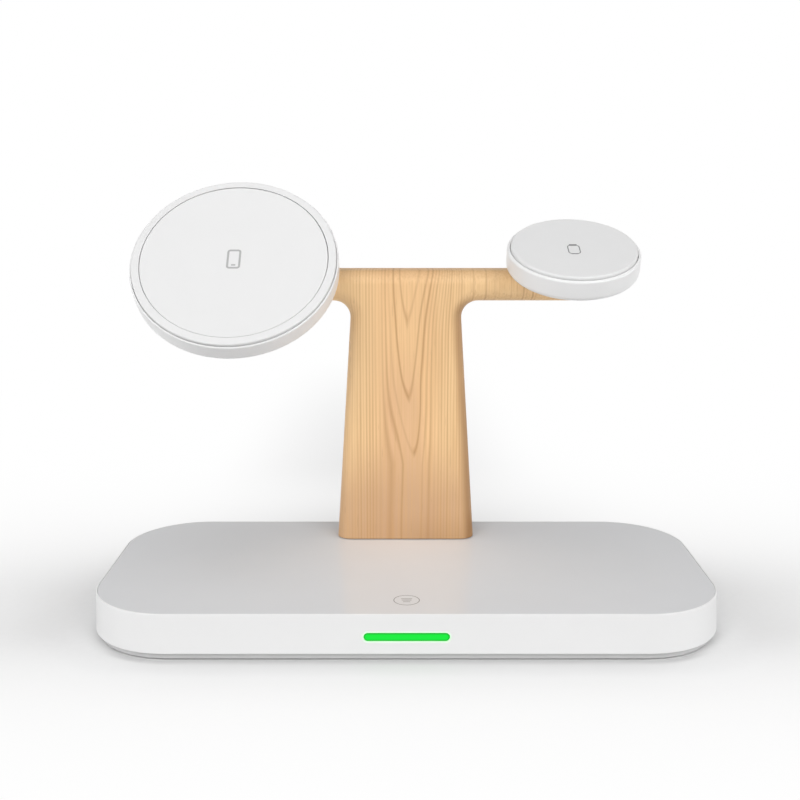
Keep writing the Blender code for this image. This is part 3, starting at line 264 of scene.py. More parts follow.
def slot_tool(width, height, y_low, y_high, z):
    """A slot with round ends that runs along Y."""
    tool = rounded_slab(width, height, y_low, y_high, height / 2 - 0.01 * MM, 10)
    bmesh.ops.rotate(tool, verts=tool.verts, matrix=Matrix.Rotation(math.radians(90), 3, "X"))
    bmesh.ops.scale(tool, verts=tool.verts, vec=(1, -1, 1))
    bmesh.ops.translate(tool, verts=tool.verts, vec=(0, 0, z))
    return tool


shell = rounded_slab(BASE_WIDTH, BASE_DEPTH, WALL_LOW, BASE_TOP, BASE_CORNER, 28)
for vertex in flat_face(shell, BASE_TOP).verts:
    vertex.co.x *= 1 - 2 * DRAFT / BASE_WIDTH
    vertex.co.y *= 1 - 2 * DRAFT / BASE_DEPTH
for z in (BASE_TOP, WALL_LOW):
    bmesh.ops.bevel(shell, geom=list(flat_face(shell, z).edges), offset=WALL_ROUND, segments=4, profile=0.5,
                    affect="EDGES", material=-1)
sink_pocket(shell, BASE_TOP, RIM - WALL_ROUND, DECK_TOP)
sink_pocket(shell, WALL_LOW, WALL - WALL_ROUND, DECK_LOW)
base_housing = make_object("housing_shell", shell)
light_slot = [size + 0.1 * MM for size in LIGHT_SIZE]
combine(base_housing, "DIFFERENCE",
        slot_tool(*light_slot, -BASE_DEPTH, -BASE_DEPTH / 2 + 3 * MM, LIGHT_Z),
        slot_tool(*SOCKET_SIZE, BASE_DEPTH / 2 - 3 * MM, BASE_DEPTH, SOCKET_Z))
break_edges(base_housing, 0.08 * MM)


def white_moulding(name):
    """White ABS, moulded in a polished tool and left satin: clean, a little glossy, nearly even."""
    material, shader = new_finish(name, IOR=1.53, Specular_IOR_Level=0.4)
    speckle(material, shader, 0.30 * MM, 0.006 * MM, linear("#F2F2F2"), linear("#F0F0F0"), 0.27, 0.34)
    return material, shader


SMOOTH = {"interpolation_type": "SMOOTHSTEP"}


def light_reach(material):
    """How far a point lies from the light bar's middle line, seen from the front."""
    place = add_node(material, "TexCoord", {}, {}).outputs["Object"]
    axes = add_node(material, "SeparateXYZ", {}, [place]).outputs
    along = add_node(material, "Math", "ABSOLUTE", [axes["X"]])
    past = add_node(material, "Math", {"operation": "SUBTRACT", "use_clamp": True},
                    [along, (LIGHT_SIZE[0] - LIGHT_SIZE[1]) / 2])
    up = add_node(material, "Math", "SUBTRACT", [axes["Z"], LIGHT_Z])
    return add_node(material, "VectorMath", "LENGTH", [add_node(material, "CombineXYZ", {}, [past, up])])


# The base's own moulding, with a painted green glow round the light bar's slot: an emission on the white
# wall, as if the guide's light spilled onto it.
abs_moulded_white_lit, shader = white_moulding("abs_moulded_white_lit")
painted_green_glow = add_node(abs_moulded_white_lit, "MapRange", SMOOTH, [
    light_reach(abs_moulded_white_lit), 1.15 * MM, 1.75 * MM, 0.25, 0.0])
place = add_node(abs_moulded_white_lit, "TexCoord", {}, {}).outputs["Object"]
axes = add_node(abs_moulded_white_lit, "SeparateXYZ", {}, [place])
in_front = add_node(abs_moulded_white_lit, "Math", "LESS_THAN", [axes.outputs["Y"], 1 * MM - BASE_DEPTH / 2])
connect(abs_moulded_white_lit, shader, {
    "Emission Color": linear("#30FF58"),
    "Emission Strength": add_node(abs_moulded_white_lit, "Math", "MULTIPLY", [painted_green_glow, in_front])})
set_in_place(base_housing, abs_moulded_white_lit, "base", "white_abs", "base_housing")

abs_moulded_white, shader = white_moulding("abs_moulded_white")


# Electronics in the base: fibreglass boards under green solder mask, with the socket's stamped
# steel shell, the earbuds' copper coil on its ferrite sheet, and the diodes behind the light bar.

# Fibreglass under solder mask: glossy green, with the copper tracks a little lighter.
fr4_solder_mask, shader = new_finish("fr4_solder_mask", IOR=1.55, Roughness=0.35)
tracks = add_node(fr4_solder_mask, "TexBrick", {"offset": 0.5, "squash": 1.0}, {
    "Vector": add_node(fr4_solder_mask, "TexCoord", {}, {}).outputs["Object"], "Color1": linear("#0F4A26"),
    "Color2": linear("#125730"), "Mortar": linear("#1E7A45"), "Scale": 1 / (9 * MM), "Mortar Size": 0.03})
connect(fr4_solder_mask, shader, {"Base Color": tracks})
for node in ("main_board", "front_board", "phone_board", "watch_board"):
    dress(node, fr4_solder_mask)

# Copper wire under enamel, wound in rings: each turn is painted darker in its groove and lighter on its
# crown, as painted shade and highlight.
copper_enamelled, shader = new_finish("copper_enamelled", Metallic=1.0, Roughness=0.35)
TURN_PITCH = 0.8 * MM
place = add_node(copper_enamelled, "TexCoord", {}, {}).outputs["Object"]
centred = add_node(copper_enamelled, "VectorMath", "LENGTH", [place])
turns = add_node(copper_enamelled, "Math", "MULTIPLY", [centred, 2 * math.pi / TURN_PITCH])
painted_turn_shade = add_node(copper_enamelled, "MapRange", {}, [add_node(copper_enamelled, "Math", "SINE", [turns]), -1.0])
tint = add_node(copper_enamelled, "Mix", BLEND, [painted_turn_shade, linear("#8A4A22"), linear("#D98A52")])
connect(copper_enamelled, shader, {"Base Color": tint})
for node in ("earbud_coil", "phone_coil", "watch_coil"):
    dress(node, copper_enamelled)

# Ferrite, pressed and sintered: near black and dull, like unglazed ceramic.
ferrite_sintered, shader = new_finish("ferrite_sintered", IOR=1.60)
speckle(ferrite_sintered, shader, 0.20 * MM, 0.02 * MM, linear("#2B2B2E"), linear("#222225"), 0.60, 0.75)
for node in ("earbud_ferrite", "phone_ferrite", "watch_ferrite"):
    dress(node, ferrite_sintered)

# Steel, stamped and nickel plated: bright and smooth. The magnets' plating looks alike.
steel_stamped, shader = new_finish("steel_stamped", Metallic=1.0)
speckle(steel_stamped, shader, 0.40 * MM, 0.01 * MM, linear("#C8CACD"), linear("#B4B6BA"), 0.22, 0.34)
for node in ("usb_c_socket", "phone_magnet_ring", "watch_magnet"):
    dress(node, steel_stamped)

# Epoxy, cast over each diode: clear in use, and drawn here as a glossy pale yellow.
epoxy_clear, shader = new_finish("epoxy_clear", IOR=1.52)
speckle(epoxy_clear, shader, 0.50 * MM, 0.005 * MM, linear("#F2EFDC"), linear("#E6E2C8"), 0.15, 0.25)
for number in (1, 2, 3):
    dress("light_diode_" + str(number), epoxy_clear)


# Light bar: a clear acrylic guide, tinted by the green diodes behind it. It is moulded with round
# ends and pressed in from behind until its face is flush with the wall.
bar = slot_tool(*LIGHT_SIZE, LIGHT_Y, LIGHT_Y + 4.4 * MM, LIGHT_Z)
front = [e for e in bar.edges if all(v.co.y < LIGHT_Y + 0.01 * MM for v in e.verts)]
bmesh.ops.bevel(bar, geom=front, offset=0.2 * MM, segments=3, profile=0.5, affect="EDGES", material=-1)
light_bar = make_object("light_bar", bar)

# Acrylic, lit from behind: brightest along the middle, a little deeper green round the edge.
acrylic_lit_green, shader = new_finish("acrylic_lit_green", IOR=1.49, Roughness=0.3, Emission_Strength=1.0,
                                       Specular_IOR_Level=0.2)
rim_shade = add_node(acrylic_lit_green, "MapRange", SMOOTH,
                     [light_reach(acrylic_lit_green), 0.55 * MM, 1.0 * MM])
glow = add_node(acrylic_lit_green, "Mix", BLEND, [rim_shade, linear("#00E838"), linear("#00B62A")])
connect(acrylic_lit_green, shader, {"Emission Color": glow, "Base Color": linear("#06280C")})
set_in_place(light_bar, acrylic_lit_green, "base", "green_light", "light_bar_lens")


# Top plate: a flat grey plate, cut from acrylic sheet, sprayed satin on its underside and laid in
# the rim's pocket. The touch key's mark is printed on it, over the spring that senses the finger.
PLATE_LOW = 11.8 * MM
PLATE_INSET = DRAFT + RIM + 0.1 * MM
KEY_Y = -28.95 * MM
KEY_RING = 3.5 * MM

sheet = rounded_slab(BASE_WIDTH - 2 * PLATE_INSET, BASE_DEPTH - 2 * PLATE_INSET, PLATE_LOW, BASE_TOP,
                     BASE_CORNER - PLATE_INSET, 28)
top_plate = make_object("grey_top_plate", sheet)
break_edges(top_plate, 0.08 * MM)

# Acrylic, sprayed from below: an even pale grey that mirrors a bright wall at a low angle.
acrylic_satin_grey, shader = new_finish("acrylic_satin_grey", IOR=1.49, Specular_IOR_Level=0.28)
speckle(acrylic_satin_grey, shader, 0.40 * MM, 0.002 * MM, linear("#E5E6E8"), linear("#E3E4E6"), 0.10, 0.14)
set_in_place(top_plate, acrylic_satin_grey, "base", "grey_plate", "top_plate")

# Marks: screen-printed in thin grey ink, which dries matt and stands out from the glossy plate.
ink_printed_grey, shader = new_finish("ink_printed_grey", IOR=1.50)
speckle(ink_printed_grey, shader, 0.10 * MM, 0.002 * MM, linear("#8E8E8E"), linear("#7E7E7E"), 0.45, 0.60)
ink_printed_pale, shader = new_finish("ink_printed_pale", IOR=1.50)
speckle(ink_printed_pale, shader, 0.10 * MM, 0.002 * MM, linear("#B4B4B4"), linear("#ABABAB"), 0.45, 0.60)
INK = 0.015 * MM


def ring_outline(width, height, corner, line, segments):
    """A thin printed outline round a rectangle with round corners, lying on Z zero."""
    mark = rounded_slab(width, height, 0, INK, corner, segments)
    for z in (0, INK):
        bmesh.ops.inset_region(mark, faces=[flat_face(mark, z, INK / 10)], thickness=line,
                               use_even_offset=True)
    holes = [flat_face(mark, 0, INK / 10), flat_face(mark, INK, INK / 10)]
    inner = [list(face.edges) for face in holes]
    bmesh.ops.delete(mark, geom=holes, context="FACES_ONLY")
    bmesh.ops.bridge_loops(mark, edges=inner[0] + inner[1])
    return mark


def printed_bar(mark, width, height, x, y):
    """Adds a plain bar to a mark."""
    made = bmesh.ops.create_cube(mark, size=1)
    bmesh.ops.scale(mark, verts=made["verts"], vec=(width, height, INK))
    bmesh.ops.translate(mark, verts=made["verts"], vec=(x, y, INK / 2))


key_ring = ring_outline(2 * KEY_RING, 2 * KEY_RING, KEY_RING - 0.01 * MM, 0.22 * MM, 16)
key_bars = bmesh.new()
for width, y in ((3.0 * MM, 1.0 * MM), (2.6 * MM, 0.0), (1.9 * MM, -1.1 * MM)):
    printed_bar(key_bars, width, 0.55 * MM, 0, y)
for name, mark, ink in (("touch_key_ring", key_ring, ink_printed_grey),
                        ("touch_key_bars", key_bars, ink_printed_pale)):
    bmesh.ops.translate(mark, verts=mark.verts, vec=(0, KEY_Y, BASE_TOP))
    set_in_place(make_object(name, mark), ink, "base", "grey_abs")


# Stem: two boards of ash, glued up and cut to one T-shaped outline. The thick front board holds
# the hinges in notches at the arm's ends; the thin rear board covers its wire channel.
STEM_FRONT, STEM_SPLIT, COVER_FRONT, STEM_REAR = 20.45 * MM, 29.95 * MM, 30.25 * MM, 32.45 * MM
STEM_LOW = BASE_TOP + 0.3 * MM
ARM_LOW, ARM_TOP = 86.7 * MM, 95.8 * MM
FOOT_HALF, NECK_HALF, ARM_HALF = 21.0 * MM, 16.3 * MM, 57.5 * MM
FILLET = 5.3 * MM
FRONT_ROUND, REAR_ROUND = 4.2 * MM, 1.2 * MM
HINGE_Y, HINGE_Z = 24.45 * MM, 92.1 * MM
PHONE_X, WATCH_X = -49.0 * MM, 48.3 * MM
NOTCH_HALF, NOTCH_REACH = 4.6 * MM, 3.6 * MM
CHANNEL_FRONT = 22.95 * MM
CHANNEL_HALF, WIRE_HALF = 4.4 * MM, 1.6 * MM
INSERT_X, INSERT_Y, INSERT_RADIUS = 12.8 * MM, 26.45 * MM, 2.65 * MM
PIN_RADIUS = 1.6 * MM
CLEAR = 5 * MM


def stem_board(front, rear):
    """The stem's T-shaped outline, rounded at its neck and arm ends, with a board's thickness."""
    board = bmesh.new()
    right = ((FOOT_HALF, STEM_LOW), (NECK_HALF, ARM_LOW), (ARM_HALF, ARM_LOW), (ARM_HALF, ARM_TOP))
    outline = list(right) + [(-x, z) for x, z in reversed(right)]
    corners = [board.verts.new((x, front, z)) for x, z in outline]
    board.faces.new(corners)
    neck = [v for v in corners if abs(abs(v.co.x) - NECK_HALF) < 0.01 * MM]
    ends = [v for v in corners if abs(abs(v.co.x) - ARM_HALF) < 0.01 * MM]
    end_round = (ARM_TOP - ARM_LOW) / 2 - 0.01 * MM
    for points, radius, segments in ((neck, FILLET, 10), (ends, end_round, 10)):
        bmesh.ops.bevel(board, geom=points, offset=radius, segments=segments, profile=0.5, affect="VERTICES",
                        material=-1)
    grown = bmesh.ops.extrude_face_region(board, geom=board.faces[:])
    moved = [v for v in grown["geom"] if isinstance(v, bmesh.types.BMVert)]
    bmesh.ops.translate(board, verts=moved, vec=(0, rear - front, 0))
    return board


def round_outline(board, y, radius, segments, with_foot):
    """Rounds the outline edges at one depth, with or without the edge along the foot."""
    edges = [e for e in board.edges if all(abs(v.co.y - y) < 0.01 * MM for v in e.verts)
             and (with_foot or any(v.co.z > STEM_LOW + 0.01 * MM for v in e.verts))]
    bmesh.ops.bevel(board, geom=edges, offset=radius, segments=segments, profile=0.5, affect="EDGES",
                    material=-1, clamp_overlap=False)


def box_tool(low, high):
    """A plain box between two corners, for cutting."""
    tool = bmesh.new()
    bmesh.ops.create_cube(tool, size=1)
    bmesh.ops.scale(tool, verts=tool.verts, vec=[b - a for a, b in zip(low, high)])
    bmesh.ops.translate(tool, verts=tool.verts, vec=[(a + b) / 2 for a, b in zip(low, high)])
    return tool


def rod_tool(radius, length, turn, middle):
    """A round rod for cutting, upright or turned by an angle about Y."""
    tool = bmesh.new()
    bmesh.ops.create_cone(tool, cap_ends=True, segments=32, radius1=radius, radius2=radius, depth=length)
    bmesh.ops.rotate(tool, verts=tool.verts, matrix=Matrix.Rotation(math.radians(turn), 3, "Y"))
    bmesh.ops.translate(tool, verts=tool.verts, vec=middle)
    return tool


front_board = stem_board(STEM_FRONT, STEM_SPLIT)
round_outline(front_board, STEM_FRONT, FRONT_ROUND, 9, with_foot=False)
stem_front = make_object("stem_front_board", front_board)
for x, end in ((PHONE_X, PHONE_X + NOTCH_HALF + 2.0 * MM), (WATCH_X, WATCH_X - NOTCH_HALF - 2.0 * MM)):
    combine(stem_front, "DIFFERENCE",
            box_tool((x - NOTCH_HALF, STEM_FRONT - CLEAR, HINGE_Z - NOTCH_REACH),
                     (x + NOTCH_HALF, HINGE_Y + NOTCH_REACH, ARM_TOP + CLEAR)),
            box_tool((min(end, 0), CHANNEL_FRONT, HINGE_Z - WIRE_HALF),
                     (max(end, 0), STEM_REAR, HINGE_Z + WIRE_HALF)),
            rod_tool(PIN_RADIUS - 0.02 * MM, 15 * MM, 90, (x, HINGE_Y, HINGE_Z)))
combine(stem_front, "DIFFERENCE", box_tool((-CHANNEL_HALF, CHANNEL_FRONT, 0),
                                           (CHANNEL_HALF, STEM_REAR, HINGE_Z + WIRE_HALF)))
for x in (-INSERT_X, INSERT_X):
    combine(stem_front, "DIFFERENCE", rod_tool(INSERT_RADIUS, 17 * MM, 0, (x, INSERT_Y, STEM_LOW)))
break_edges(stem_front, 0.15 * MM)

rear_board = stem_board(COVER_FRONT, STEM_REAR)
round_outline(rear_board, STEM_REAR, REAR_ROUND, 4, with_foot=True)
stem_rear = make_object("stem_rear_board", rear_board)
break_edges(stem_rear, 0.10 * MM)


def ash_finish(name, pith_x, lift, face_y):
    """Ash, plain sawn and satin lacquered, with its growth rings drawn in millimetres.

    At the sides the rings are upright lines a millimetre apart. Along the board's middle they meet
    in narrow arches that point down, a hand's breadth of tree that the saw met at a slant.
    """
    material, shader = new_finish(name, IOR=1.50, Coat_Weight=0.10, Coat_Roughness=0.35)
    add = partial(add_node, material)
    coords = add("TexCoord", {}, {}).outputs
    axes = add("SeparateXYZ", {}, [coords["Object"]]).outputs
    x, y, height = [add("Math", "MULTIPLY", [axes[axis], 1 / MM]) for axis in "XYZ"]
    z = add("Math", "ADD", [height, lift])

    # Cells per metre along each axis: the fibres, the pores, and two slow changes.
    patterns = (((1900, 1900, 34), 3.0), ((2600, 2600, 120), 1.0), ((60, 60, 20), 1.0), ((70, 40, 30), 1.0))
    stretched = [add("Mapping", {}, {"Vector": coords["Object"], "Scale": cells, "Location": (0, 0, lift)})
                 for cells, detail in patterns]
    fibre, pore, cloud, wander = [
        add("TexNoise", {}, {"Vector": vector, "Scale": 1.0, "Detail": detail})
        for vector, (cells, detail) in zip(stretched, patterns)]

    # The pith line leans to the right at its foot, and the rings fan out at the upper right.
    off = add("Math", "SUBTRACT", [x, pith_x])
    lean = add("MapRange", SMOOTH, [add("Math", "ABSOLUTE", [off]), 9.0, 2.0])
    lean = add("Math", "MULTIPLY", [add("MapRange", SMOOTH, [z, 66.0, 36.0, 0.0, 1.9]), lean])
    off = add("Math", "SUBTRACT", [off, lean])
    rise = add("Math", "MAXIMUM", [add("Math", "SUBTRACT", [z, 74.0]), 0.0])
    fan = add("Math", "MULTIPLY", [add("Math", "MULTIPLY", [rise, rise]), 0.0045])
    fan = add("Math", "MULTIPLY", [fan, add("MapRange", SMOOTH, [off, 0.0, 7.0])])
    fan = add("Math", "MULTIPLY", [fan, add("MapRange", SMOOTH, [off, 18.0, 9.0])])
    sway = add("MapRange", SMOOTH, [add("Math", "ABSOLUTE", [off]), 10.0, 2.0, 0.3, 1.6])
    sway = add("Math", "MULTIPLY", [add("Math", "SUBTRACT", [wander, 0.5]), sway])
    off = add("Math", "ADD", [add("Math", "SUBTRACT", [off, fan]), sway])
    side = add("Math", "ABSOLUTE", [off])

    # Rings are counted across the board and down it, and the two counts meet in a pointed arch.
    near = add("Math", "MINIMUM", [side, 5.6])
    spread = add("Math", "MULTIPLY", [add("Math", "MULTIPLY", [near, near]), 0.055])
    spread = add("Math", "ADD", [add("Math", "MULTIPLY", [near, 0.20]), spread])
    outer = add("Math", "MULTIPLY", [add("Math", "SUBTRACT", [side, near]), 1.08])
    spread = add("Math", "ADD", [spread, outer])
    fall = add("Math", "SUBTRACT", [81.3, add("Math", "MAXIMUM", [z, 37.0])])
    climb = add("Math", "MULTIPLY", [add("Math", "MULTIPLY", [fall, fall]), 0.00036])
    climb = add("Math", "ADD", [add("Math", "MULTIPLY", [fall, 0.0345]), climb])
    climb = add("Math", "MINIMUM", [climb, add("Math", "MULTIPLY", [fall, 0.050])])
    climb = add("Math", "ADD", [climb, 1.0])
    climb = add("Math", "MULTIPLY", [climb, add("MapRange", SMOOTH, [side, 10.0, 4.0])])
    climb = add("Math", "MAXIMUM", [climb, 0.0])
    rings = add("Math", "ADD", [add("Math", "POWER", [spread, 1.25]), add("Math", "POWER", [climb, 1.25])])
    rings = add("Math", "POWER", [rings, 1 / 1.25])
    depth = add("Math", "ABSOLUTE", [add("Math", "SUBTRACT", [y, face_y / MM])])
    slant = add("MapRange", SMOOTH, [height, 90.0, 82.0, 0.02, 0.5])
    rings = add("Math", "ADD", [rings, add("Math", "MULTIPLY", [depth, slant])])

    # A ring's latewood is a thin dark line. No two are equally dark, and far out few are dark at all.
    count = add("Math", "ADD", [rings, 0.5])
    half = add("Math", "MULTIPLY", [add("Math", "SIGN", [off]), 40.0])
    year = add("Math", "ADD", [add("Math", "FLOOR", [count]), half])
    strength = add("TexWhiteNoise", {"noise_dimensions": "1D"}, [year])
    part = add("Math", "ABSOLUTE", [add("Math", "SUBTRACT", [add("Math", "FRACT", [count]), 0.5])])
    late = add("Math", "DIVIDE", [part, add("MapRange", SMOOTH, [side, 1.0, 7.0, 0.12, 0.40])])
    late = add("Math", "SUBTRACT", [1.0, add("Math", "MINIMUM", [late, 1.0])])
    far = add("MapRange", SMOOTH, [side, 14.0, 22.0])
    rarer = add("Math", "ADD", [add("Math", "MULTIPLY", [far, 4.0]), 1.0])
    strength = add("Math", "MULTIPLY", [add("Math", "POWER", [strength, rarer]), 0.75])
    least = add("Math", "MULTIPLY", [add("Math", "SUBTRACT", [1.0, far]), 0.25])
    line = add("Math", "MULTIPLY", [late, add("Math", "ADD", [strength, least])])
    clear = add("MapRange", SMOOTH, [side, 11.0, 4.0, 0.75, 1.0])
    clear = add("Math", "ADD", [clear, add("Math", "MULTIPLY", [far, 0.25])])
    line = add("Math", "MULTIPLY", [line, clear])

    # The wood between the lines is pinker at the heart, browner at the foot and palest at the flanks.
    across = add("Math", "ABSOLUTE", [x])
    heart = add("Math", "ABSOLUTE", [add("Math", "ADD", [off, 2.0])])
    heart = add("MapRange", SMOOTH, [heart, 7.5, 3.5])
    heart = add("Math", "MULTIPLY", [heart, add("MapRange", SMOOTH, [z, 78.0, 55.0])])
    foot = add("Math", "ADD", [z, add("Math", "MULTIPLY", [cloud, 14.0])])
    foot = add("MapRange", SMOOTH, [foot, 58.0, 32.0])
    ground = add("Mix", BLEND, [heart, linear("#FDD19B"), linear("#F0C394")])
    ground = add("Mix", BLEND, [foot, ground, linear("#DAB087")])
    foot = add("Math", "MULTIPLY", [foot, add("MapRange", SMOOTH, [across, 13.0, 5.0, 0.78, 1.0])])
    flank = add("MapRange", SMOOTH, [across, 6.0, 13.0, 0.0, 0.5])
    flank = add("Math", "MULTIPLY", [flank, add("Math", "SUBTRACT", [1.0, foot])])
    ground = add("Mix", BLEND, [flank, ground, linear("#FFDCA6")])
    # Painted light: the upper left of the stem is lightened, its fibre shade and its lines made weaker there.
    left = add("MapRange", SMOOTH, [z, 48.0, 66.0, 0.3, 1.0])
    left = add("Math", "MULTIPLY", [add("MapRange", SMOOTH, [x, -3.0, -8.0]), left])
    shade = add("Math", "SUBTRACT", [1.0, add("Math", "MULTIPLY", [left, 0.55])])
    shade = add("Math", "MULTIPLY", [add("MapRange", SMOOTH, [fibre, 0.35, 0.70, 0.0, 0.45]), shade])
    ground = add("Mix", BLEND, [shade, ground, linear("#E4B780")])
    painted_light_on_lines = add("Math", "SUBTRACT", [1.0, add("Math", "MULTIPLY", [left, 0.25])])
    line = add("Math", "MULTIPLY", [line, painted_light_on_lines])
    colour = add("Mix", BLEND, [add("Math", "MULTIPLY", [line, 0.95]), ground, linear("#CA9664")])
    pores = add("Math", "MULTIPLY", [add("MapRange", SMOOTH, [pore, 0.70, 0.80]), 0.35])
    colour = add("Mix", BLEND, [pores, colour, linear("#A87B4C")])

    # Painted shade: the rounded edges are darkened by the way they face, the right-hand ones most and the
    # upper ones a little, and the foot is darkened towards the base, most on the right.
    facing = add("SeparateXYZ", {}, [coords["Normal"]]).outputs
    edge = add("MapRange", SMOOTH, [height, 66.0, 48.0, 0.75, 0.84])
    edge = add("Math", "MULTIPLY", [add("MapRange", SMOOTH, [facing["X"], 0.05, 0.80]), edge])
    edge = add("Math", "ADD", [edge, add("MapRange", SMOOTH, [facing["X"], -0.35, -0.98, 0.0, 0.25])])
    edge = add("Math", "ADD", [edge, add("MapRange", SMOOTH, [facing["Z"], 0.10, 0.90, 0.0, 0.30])])
    low = add("MapRange", SMOOTH, [height, 24.0, 13.0, 0.0, 0.27])
    low = add("Math", "MULTIPLY", [low, add("MapRange", SMOOTH, [x, -8.0, 8.0, 0.3, 1.0])])
    colour = add("Mix", BLEND, [add("Math", "ADD", [edge, low]), colour, linear("#A97C4C")])
    relief = add("Math", "SUBTRACT", [fibre, add("Math", "MULTIPLY", [line, 0.5])])
    connect(material, shader, {
        "Base Color": colour, "Roughness": add("MapRange", SMOOTH, [fibre, 0.3, 0.7, 0.42, 0.56]),
        "Normal": add("Bump", {}, {"Height": relief, "Strength": 0.20, "Distance": 0.03 * MM})})
    return material


ash_lacquered = ash_finish("ash_lacquered", 0.4, 0.0, STEM_FRONT)
ash_lacquered_rear = ash_finish("ash_lacquered_rear", -3.0, 12.0, STEM_REAR)
set_in_place(stem_front, ash_lacquered, "base", "ash", "stem_front_shell")
set_in_place(stem_rear, ash_lacquered_rear, "base", "ash", "stem_rear_cover")


# Fixings in the stem: knurled brass inserts in the foot, and the heads' leads in white PVC with
# their moulded plugs, which run from the board up the channel to the hinges.

# Brass, turned and knurled: warm yellow, with a fine broken sheen.
brass_turned, shader = new_finish("brass_turned", Metallic=1.0)
speckle(brass_turned, shader, 0.50 * MM, 0.02 * MM, linear("#C9A85A"), linear("#B08F45"), 0.28, 0.40)
for side in ("left", "right"):
    dress("stem_insert_" + side, brass_turned)
# PVC, extruded over the wires: greyish white and half matt.
pvc_extruded, shader = new_finish("pvc_extruded", IOR=1.54)
speckle(pvc_extruded, shader, 0.40 * MM, 0.01 * MM, linear("#E2E2E2"), linear("#D8D8D8"), 0.45, 0.55)
for node in ("phone_lead", "watch_lead"):
    dress(node, pvc_extruded)
for node in ("phone_lead_plug", "watch_lead_plug"):
    dress(node, abs_moulded_white)


# Friction hinges: hollow pins of turned stainless steel, pressed into the arm, with a spring
# washer on each side of the lug. They show in the notches when a head is tilted.

# Stainless steel, turned: a bright grey, broken up by the tool's fine marks.
stainless_turned, shader = new_finish("stainless_turned", Metallic=1.0)
speckle(stainless_turned, shader, 0.25 * MM, 0.01 * MM, linear("#C4C6C8"), linear("#A8AAAD"), 0.22, 0.34)
for head in ("phone", "watch"):
    for part in ("_hinge_pin", "_washer_inner", "_washer_outer"):
        dress(head + part, stainless_turned)


# Phone head: a round white ABS housing, turned towards the user on its hinge. A raised ring is
# snapped in round a flat satin pad, behind which lie the magnets and the coil.
def head_place(x, tilt, drop, lift):
    """Where a head's own seam plane lies: its Z faces the device that it charges."""
    return (Matrix.Translation((x, HINGE_Y, HINGE_Z)) @ Matrix.Rotation(math.radians(tilt), 4, "X")
            @ Matrix.Translation((0, -drop, lift)))


PHONE_DROP, PHONE_LIFT = 3.9 * MM, 15.3 * MM
PHONE_PLACE = head_place(PHONE_X, 47.3, PHONE_DROP, PHONE_LIFT)


def turned(profile, rounds, steps):
    """Spins a half profile about Z. Each corner of it may be rounded first."""
    work = bmesh.new()
    points = [work.verts.new((radius, 0, height)) for radius, height in profile]
    work.faces.new(points)
    for index, (radius, segments) in rounds.items():
        bmesh.ops.bevel(work, geom=[points[index]], offset=radius, segments=segments, profile=0.5,
                        affect="VERTICES", material=-1)
    bmesh.ops.delete(work, geom=work.faces[:], context="FACES_ONLY")
    for edge in [e for e in work.edges if all(v.co.x < 0.001 * MM for v in e.verts)]:
        work.edges.remove(edge)
    bmesh.ops.spin(work, geom=work.verts[:] + work.edges[:], cent=(0, 0, 0), axis=(0, 0, 1), dvec=(0, 0, 0),
                   angle=math.radians(360), steps=steps, use_merge=True)
    bmesh.ops.remove_doubles(work, verts=work.verts, dist=0.001 * MM)
    bmesh.ops.recalc_face_normals(work, faces=work.faces)
    return work


def hinge_lug(back):
    """The lug on a head's back: a round knuckle for the pin, a neck, and a root with fillets."""
    lug = bmesh.new()
    half, flare, width = 3.3 * MM, 1.6 * MM, 7.0 * MM
    right = ((half, -half), (half, back), (half + 1.5 * flare, back), (half + 1.5 * flare, back + 0.6 * MM))
    outline = [(-y, z) for y, z in reversed(right)] + list(right)
    corners = [lug.verts.new((-width / 2, y, z)) for y, z in outline]
    lug.faces.new(corners)
    knuckle = [v for v in corners if v.co.z < 0]
    root = [v for v in corners if abs(v.co.z - back) < 0.01 * MM and abs(abs(v.co.y) - half) < 0.01 * MM]
    for points, radius in ((knuckle, half - 0.01 * MM), (root, flare)):
        bmesh.ops.bevel(lug, geom=points, offset=radius, segments=8, profile=0.5, affect="VERTICES",
                        material=-1)
    grown = bmesh.ops.extrude_face_region(lug, geom=lug.faces[:])
    moved = [v for v in grown["geom"] if isinstance(v, bmesh.types.BMVert)]
    bmesh.ops.translate(lug, verts=moved, vec=(width, 0, 0))
    bmesh.ops.recalc_face_normals(lug, faces=lug.faces)
    return lug


def head_housing(name, profile, rounds, seat, back, drop):
    """A head's housing with its boss and hinge lug joined on, set at its seat."""
    body = turned(profile, rounds, 120)
    boss_radius, sunk, proud = 8.5 * MM, back + 0.6 * MM, back - 1.0 * MM
    boss = turned([(0, sunk), (0, proud), (boss_radius, proud), (boss_radius, sunk)], {2: (0.5 * MM, 4)}, 72)
    bmesh.ops.translate(body, verts=body.verts, vec=(0, -drop[0], drop[1]))
    housing = make_object(name, body)
    combine(housing, "UNION", boss, hinge_lug(proud))
    combine(housing, "DIFFERENCE", rod_tool(PIN_RADIUS, 12 * MM, 90, (0, 0, 0)))
    housing.data.transform(seat @ Matrix.Translation((0, drop[0], -drop[1])))
    return housing


